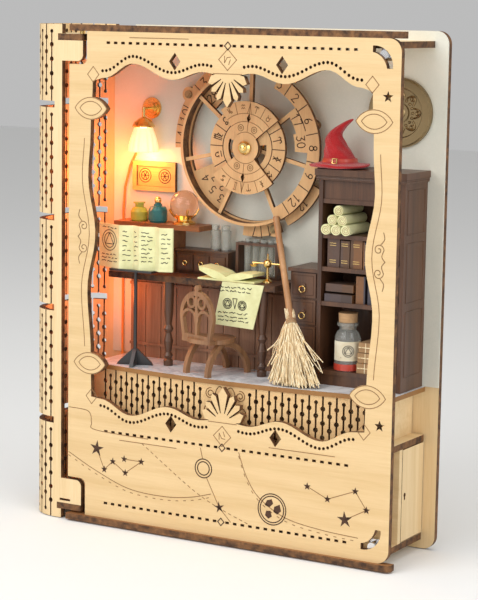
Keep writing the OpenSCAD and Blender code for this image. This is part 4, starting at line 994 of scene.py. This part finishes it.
def wizardHat():
    x, y, z = hatSet["x"], hatSet["y"], hatSet["z"]
    rings = []
    profile = [  # radius, height, shift in x, crumple
        (1.0, 0.25, 0, 0), (hatSet["brim"] - 1.4, 0.2, 0, 0.0), (hatSet["brim"], 0.9, 0, 0.4),
        (hatSet["brim"] - 0.3, 1.9, 0, 0.4), (11.0, 1.9, 0, 0.2), (8.3, 2.4, 0, 0.1), (7.5, 4.0, -0.2, 0.2),
        (6.7, 6.4, -0.8, 0.4), (6.3, 8.2, -1.4, 0.5), (5.0, 9.6, -2.0, 0.5), (5.0, 11.4, -2.6, 0.4),
        (4.3, 13.4, -3.2, 0.4), (3.1, 15.6, -3.0, 0.3), (3.0, 17.4, -1.6, 0.3), (2.3, 19.2, 0.6, 0.2),
        (1.9, 20.8, 2.9, 0.1), (1.3, 22.0, 4.8, 0.1), (0.5, 22.8, 6.0, 0.0)]
    for radius, height, shift, crumple in profile:
        ring = []
        for k in range(48):
            a = 2 * math.pi * k / 48
            wave = 0.9 * math.sin(a * 3 + 0.6) if radius > hatSet["brim"] - 2 else 0
            r = radius + crumple * math.sin(a * hatSet["folds"] + height)
            ring.append(spot(x + shift + r * math.cos(a), y + 0.4 + r * math.sin(a) * 0.98,
                             z + height + max(0, wave) * (1 if height > 0.4 else 0)))
        rings.append(ring)
    hat = loft("wizardHat", rings)
    onlyThis(hat)
    soften = hat.modifiers.new("soften", "SUBSURF")
    soften.levels = soften.render_levels = 1
    bpy.ops.object.modifier_apply(modifier="soften")
    finishPiece(hat, "wizardHatFelt", "felt", "box", 80, ["wizard_hat"])
    band = []
    for radius, height in ((8.05, 2.4), (8.25, 3.4), (7.75, 4.6), (7.2, 4.7)):
        band.append([spot(x - 0.1 + radius * math.cos(a), y + 0.4 + radius * math.sin(a), z + height)
                     for a in [2 * math.pi * k / 48 for k in range(48)]])
    finishPiece(loft("hatBand", band), "hatBand", "redPaint")
    buckle = arc(x + 1.4, z + 3.7, 1.5, 45, 405, 4)
    wires("hatBuckle", [[spot(px, y - 8.1 + 0.2 * (pz - z - 3), pz) for px, pz in buckle[:-1]]], 0.4, "brass",
          closed=True)
    print("hat blocked")


def beadRing(cx, y, cz, radius, count, size, name, look):
    beads = []
    for k in range(count):
        a = 2 * math.pi * k / count
        bpy.ops.mesh.primitive_uv_sphere_add(
            segments=10, ring_count=6, radius=size * mm,
            location=spot(cx + radius * math.cos(a), y, cz + radius * math.sin(a)))
        beads.append(bpy.context.object)
    return finishPiece(joined(beads), name, look)


def medallion():
    low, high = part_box("medallion")
    cx = ((low.x + high.x) / 2 - coverLow.x) / mm
    cz = (low.z + high.z) / 2 / mm
    face = (low.y - coverLow.y) / mm
    beadRing(cx, face + 1.0, cz, 14.6, 34, 0.95, "medallionBeads", "oldBrass")
    beadRing(cx, face + 0.9, cz, 6.4, 18, 0.7, "medallionInnerBeads", "oldBrass")
    curls = []
    for k in range(8):
        a = math.radians(45 * k)
        petal = []
        for i in range(13):
            t = i / 12 * math.pi
            r = 7.4 + 2.9 * math.sin(t)
            b = a + (t / math.pi - 0.5) * 0.62
            petal.append(spot(cx + r * math.cos(b), face + 0.9, cz + r * math.sin(b)))
        curls.append(petal)
        eye = [spot(cx + 9 * math.cos(a) + 0.8 * math.cos(u), face + 0.9,
                    cz + 9 * math.sin(a) + 0.8 * math.sin(u))
               for u in [2 * math.pi * j / 10 for j in range(11)]]
        curls.append(eye)
    wires("medallionCurls", curls, 0.45, "oldBrass")
    bpy.ops.mesh.primitive_uv_sphere_add(segments=24, ring_count=12, radius=3.2 * mm,
                                         location=spot(cx, face + 0.6, cz))
    boss = bpy.context.object
    boss.scale = (1, 0.42, 1)
    finishPiece(boss, "medallionBoss", "oldBrass")
    print("medallion beaded")


shadeSet = {"pleats": 14, "steps": 112}


def lampShade():
    rings = []
    outer = [(7.0, 0.0, 0.38), (6.9, 3.2, 0.34), (6.0, 7.0, 0.22), (4.8, 10.6, 0.1), (4.4, 11.8, 0.0)]
    skin = outer + [(r - 0.7, h, c) for r, h, c in outer[::-1]]
    low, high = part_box("lamp_shade")
    count = shadeSet["steps"]
    for radius, height, pleat in skin + skin[:1]:
        ring = []
        for k in range(count):
            a = 2 * math.pi * k / count
            fold = radius + pleat * math.sin(a * shadeSet["pleats"])
            ring.append(Vector(((low.x + high.x) / 2 + fold * mm * math.cos(a),
                                (low.y + high.y) / 2 + fold * mm * math.sin(a),
                                low.z + height * mm)))
        rings.append(ring)
    points = [p for ring in rings[:-1] for p in ring]
    total = len(rings) - 1
    faces = []
    for k in range(total):
        n = (k + 1) % total
        for j in range(count):
            m = (j + 1) % count
            faces.append([k * count + j, k * count + m, n * count + m, n * count + j])
    finishPiece(fromShape("lampShadePleated", points, faces), "lampShadePleated", "shadeGlow",
                "box", 60, ["lamp_shade"])
    frill = []
    for k in range(85):
        a = 2 * math.pi * k / 84
        r = (7.05 + 0.3 * math.sin(a * shadeSet["pleats"])) * mm
        frill.append(Vector(((low.x + high.x) / 2 + r * math.cos(a), (low.y + high.y) / 2 + r * math.sin(a),
                             low.z + (0.35 + 0.2 * math.sin(a * 28)) * mm)))
    wires("lampFrill", [frill[:-1]], 0.32, "shadeGlow", closed=True)


# Small trim on the furniture
def trim():
    low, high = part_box("drawer_chest")
    cx = ((low.x + high.x) / 2 - coverLow.x) / mm
    rowHeight = (53.3 - 3.6) / 4
    rings = []
    for row in range(4):
        cz = 79 + (row + 0.5) * rowHeight - 0.6
        rings.append([spot(cx + 1.5 * math.cos(a), 22.2, cz - 1.2 + 1.5 * math.sin(a))
                      for a in [2 * math.pi * k / 16 for k in range(16)]])
    for k in range(3):
        x = 44.5 + 9 * k
        rings.append([spot(x + 1.1 * math.cos(a), 34.1, 126.2 + 1.1 * math.sin(a))
                      for a in [2 * math.pi * j / 14 for j in range(14)]])
    wires("drawerRings", rings, 0.3, "brass", closed=True)

    groove = []
    for row in range(4):
        z = 79 + row * rowHeight
        groove.append([(cx - 5.4, z + 1.6), (cx + 5.4, z + 1.6), (cx + 5.4, z + rowHeight - 1.8),
                       (cx - 5.4, z + rowHeight - 1.8), (cx - 5.4, z + 1.6)])
    strokes("chestGrooves", groove, 0.3, 23.2, "burnt")

    spineLines = []
    low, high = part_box("books")
    for k in range(4):
        for z in (134.2, 135.2, 142, 143):
            x = (low.x - coverLow.x) / mm + 0.9 + k * 6.0
            spineLines.append([(x + 0.9, z), (x + 4.0, z)])
    strokes("spineGilding", spineLines, 0.25, 24, "brass")

    case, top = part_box("bookcase")
    left, right = (case.x - coverLow.x) / mm + 1.4, (top.x - coverLow.x) / mm - 1.4
    moulding = []
    for z in (172.8, 173.6):
        moulding.append([spot(left - 0.9, 20.9, z), spot(right + 0.9, 20.9, z), spot(right + 0.9, 45, z)])
    wires("caseMoulding", moulding, 0.3, "darkPly")
    panel = []
    for z0, z1 in ((84, 114), (118, 145), (149, 169)):
        panel.append([spot(right, 25, z0), spot(right, 42.5, z0), spot(right, 42.5, z1), spot(right, 25, z1)])
    wires("casePanels", panel, 0.28, "darkPly", closed=True)

    ends = []
    r = 2.4
    for row in range(3):
        for i in range(3 - row):
            cx = left + 2 + r + 0.6 + (2 * i + row) * (r + 0.15)
            cz = 147.2 + r + row * r * 1.78
            spiral = []
            for k in range(26):
                a = k / 25 * 4.4 * math.pi
                spiral.append(spot(cx + (0.4 + 1.75 * k / 25) * math.cos(a), 22 - 2.4 + row * 1.2,
                                   cz + (0.4 + 1.75 * k / 25) * math.sin(a)))
            ends.append(spiral)
    wires("scrollSpirals", ends, 0.13, "kraft", sides=0)

    low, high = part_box("box_stack")
    twine = []
    x0, x1 = (low.x - coverLow.x) / mm, (high.x - coverLow.x) / mm
    for layer in range(3):
        z = 84 + 4.8 * layer
        y = 24 + 0.3 * layer
        for x in (x0 + 4.2, x1 - 4.6):
            twine.append([spot(x, y - 0.1, z + 0.1), spot(x, y - 0.1, z + 4.4)])
        twine.append([spot(x0 + 0.6, y - 0.1, z + 2.3), spot(x1 - 0.6, y - 0.1, z + 2.3)])
    wires("boxTwine", twine, 0.25, "straw")

    low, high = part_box("jar")
    jx, jy = ((low.x + high.x) / 2 - coverLow.x) / mm, ((low.y + high.y) / 2 - coverLow.y) / mm
    for name, z0, z1, look, slotName in (("jarLabel", 89, 98, "label", "parchment"),
                                         ("jarBand", 84.4, 87.4, "redPaint", "cell_skin")):
        points = []
        faces = []
        steps = 20 if name == "jarLabel" else 40
        span = math.radians(150 if name == "jarLabel" else 360)
        start = math.radians(-60) - span / 2
        for k in range(steps + 1):
            a = start + span * k / steps
            for radius in (6.12, 6.3):
                for z in (z0, z1):
                    points.append(spot(jx + radius * math.cos(a), jy + radius * math.sin(a), z))
        for k in range(steps):
            a, b = 4 * k, 4 * k + 4
            faces += [[a + 2, b + 2, b + 3, a + 3], [a + 1, b + 1, b, a],
                      [a, b, b + 2, a + 2], [a + 3, b + 3, b + 1, a + 1]]
        faces += [[0, 2, 3, 1], [4 * steps, 4 * steps + 1, 4 * steps + 3, 4 * steps + 2]]
        finishPiece(fromShape(name, points, faces), name, look)
    mark = []
    for path in emblem(0, 93.6, 2.6) + [[(-3.6, 90.6), (3.6, 90.6)]]:
        mark.append([spot(jx + 6.36 * math.cos(math.radians(-60) + u / 6.3),
                          jy + 6.36 * math.sin(math.radians(-60) + u / 6.3), v) for u, v in path])
    wires("jarMark", mark, 0.16, "ink", sides=0)

    motif = []
    for cx in (14.6, 26):
        motif += [arc(cx, 166.4, 3.4, steps=20), arc(cx, 166.4, 2.2, steps=16)]
        for k in range(6):
            a = math.radians(60 * k)
            motif.append([(cx, 166.4), (cx + 2.2 * math.cos(a), 166.4 + 2.2 * math.sin(a))])
    strokes("frameMotif", motif, 0.4, 44.6, "burnt")

    claws = []
    bx, by, bz, br = 41.5, 38, 154.1, 7.0
    for k in range(4):
        a = math.radians(45 + 90 * k)
        claw = []
        for i in range(9):
            t = math.radians(-78 + 62 * i / 8)
            r = (br + 0.5) * math.cos(t)
            claw.append(spot(bx + r * math.cos(a), by + r * math.sin(a), bz + (br + 0.5) * math.sin(t)))
        claws.append(claw)
    wires("ballClaws", claws, 0.6, "brass")
    bpy.ops.mesh.primitive_uv_sphere_add(segments=24, ring_count=14, radius=1.78 * mm,
                                         location=spot(26.4, 38, 155.1))
    stopper = bpy.context.object
    stopper.scale = (1, 1, 1.08)
    finishPiece(stopper, "bottleStopper", "brass")
    print("trim fitted")


cellSet = {"heights": (14.35, 25.15), "y": 13.25}


def batteries():
    low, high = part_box("battery_box")
    springs = []
    x = (low.x - coverLow.x) / mm + 2.6
    for cz in cellSet["heights"]:
        coil = []
        for k in range(40):
            a = k / 39 * 8 * math.pi
            coil.append(spot(x + 2.2 * k / 39 - 1.0, cellSet["y"] + 2.4 * math.cos(a), cz + 2.4 * math.sin(a)))
        springs.append(coil)
    wires("contactSprings", springs, 0.22, "steel")


floorSet = {"size": 5.0, "colour": (0.86, 0.86, 0.85)}


def floor():
    bpy.ops.mesh.primitive_plane_add(size=floorSet["size"], location=(0, 0, -0.0004))
    plane = bpy.context.object
    plane.name = "studioFloor"
    finish = Finish("studioFloor")
    plane.data.materials.append(finish.use(colour=floorSet["colour"], rough=0.7))


addCamera()
addLights()
coverDrawing()
dialSigns()
railEngraving()
writtenSheets()
broom()
wizardHat()
medallion()
lampShade()
trim()
batteries()
floor()
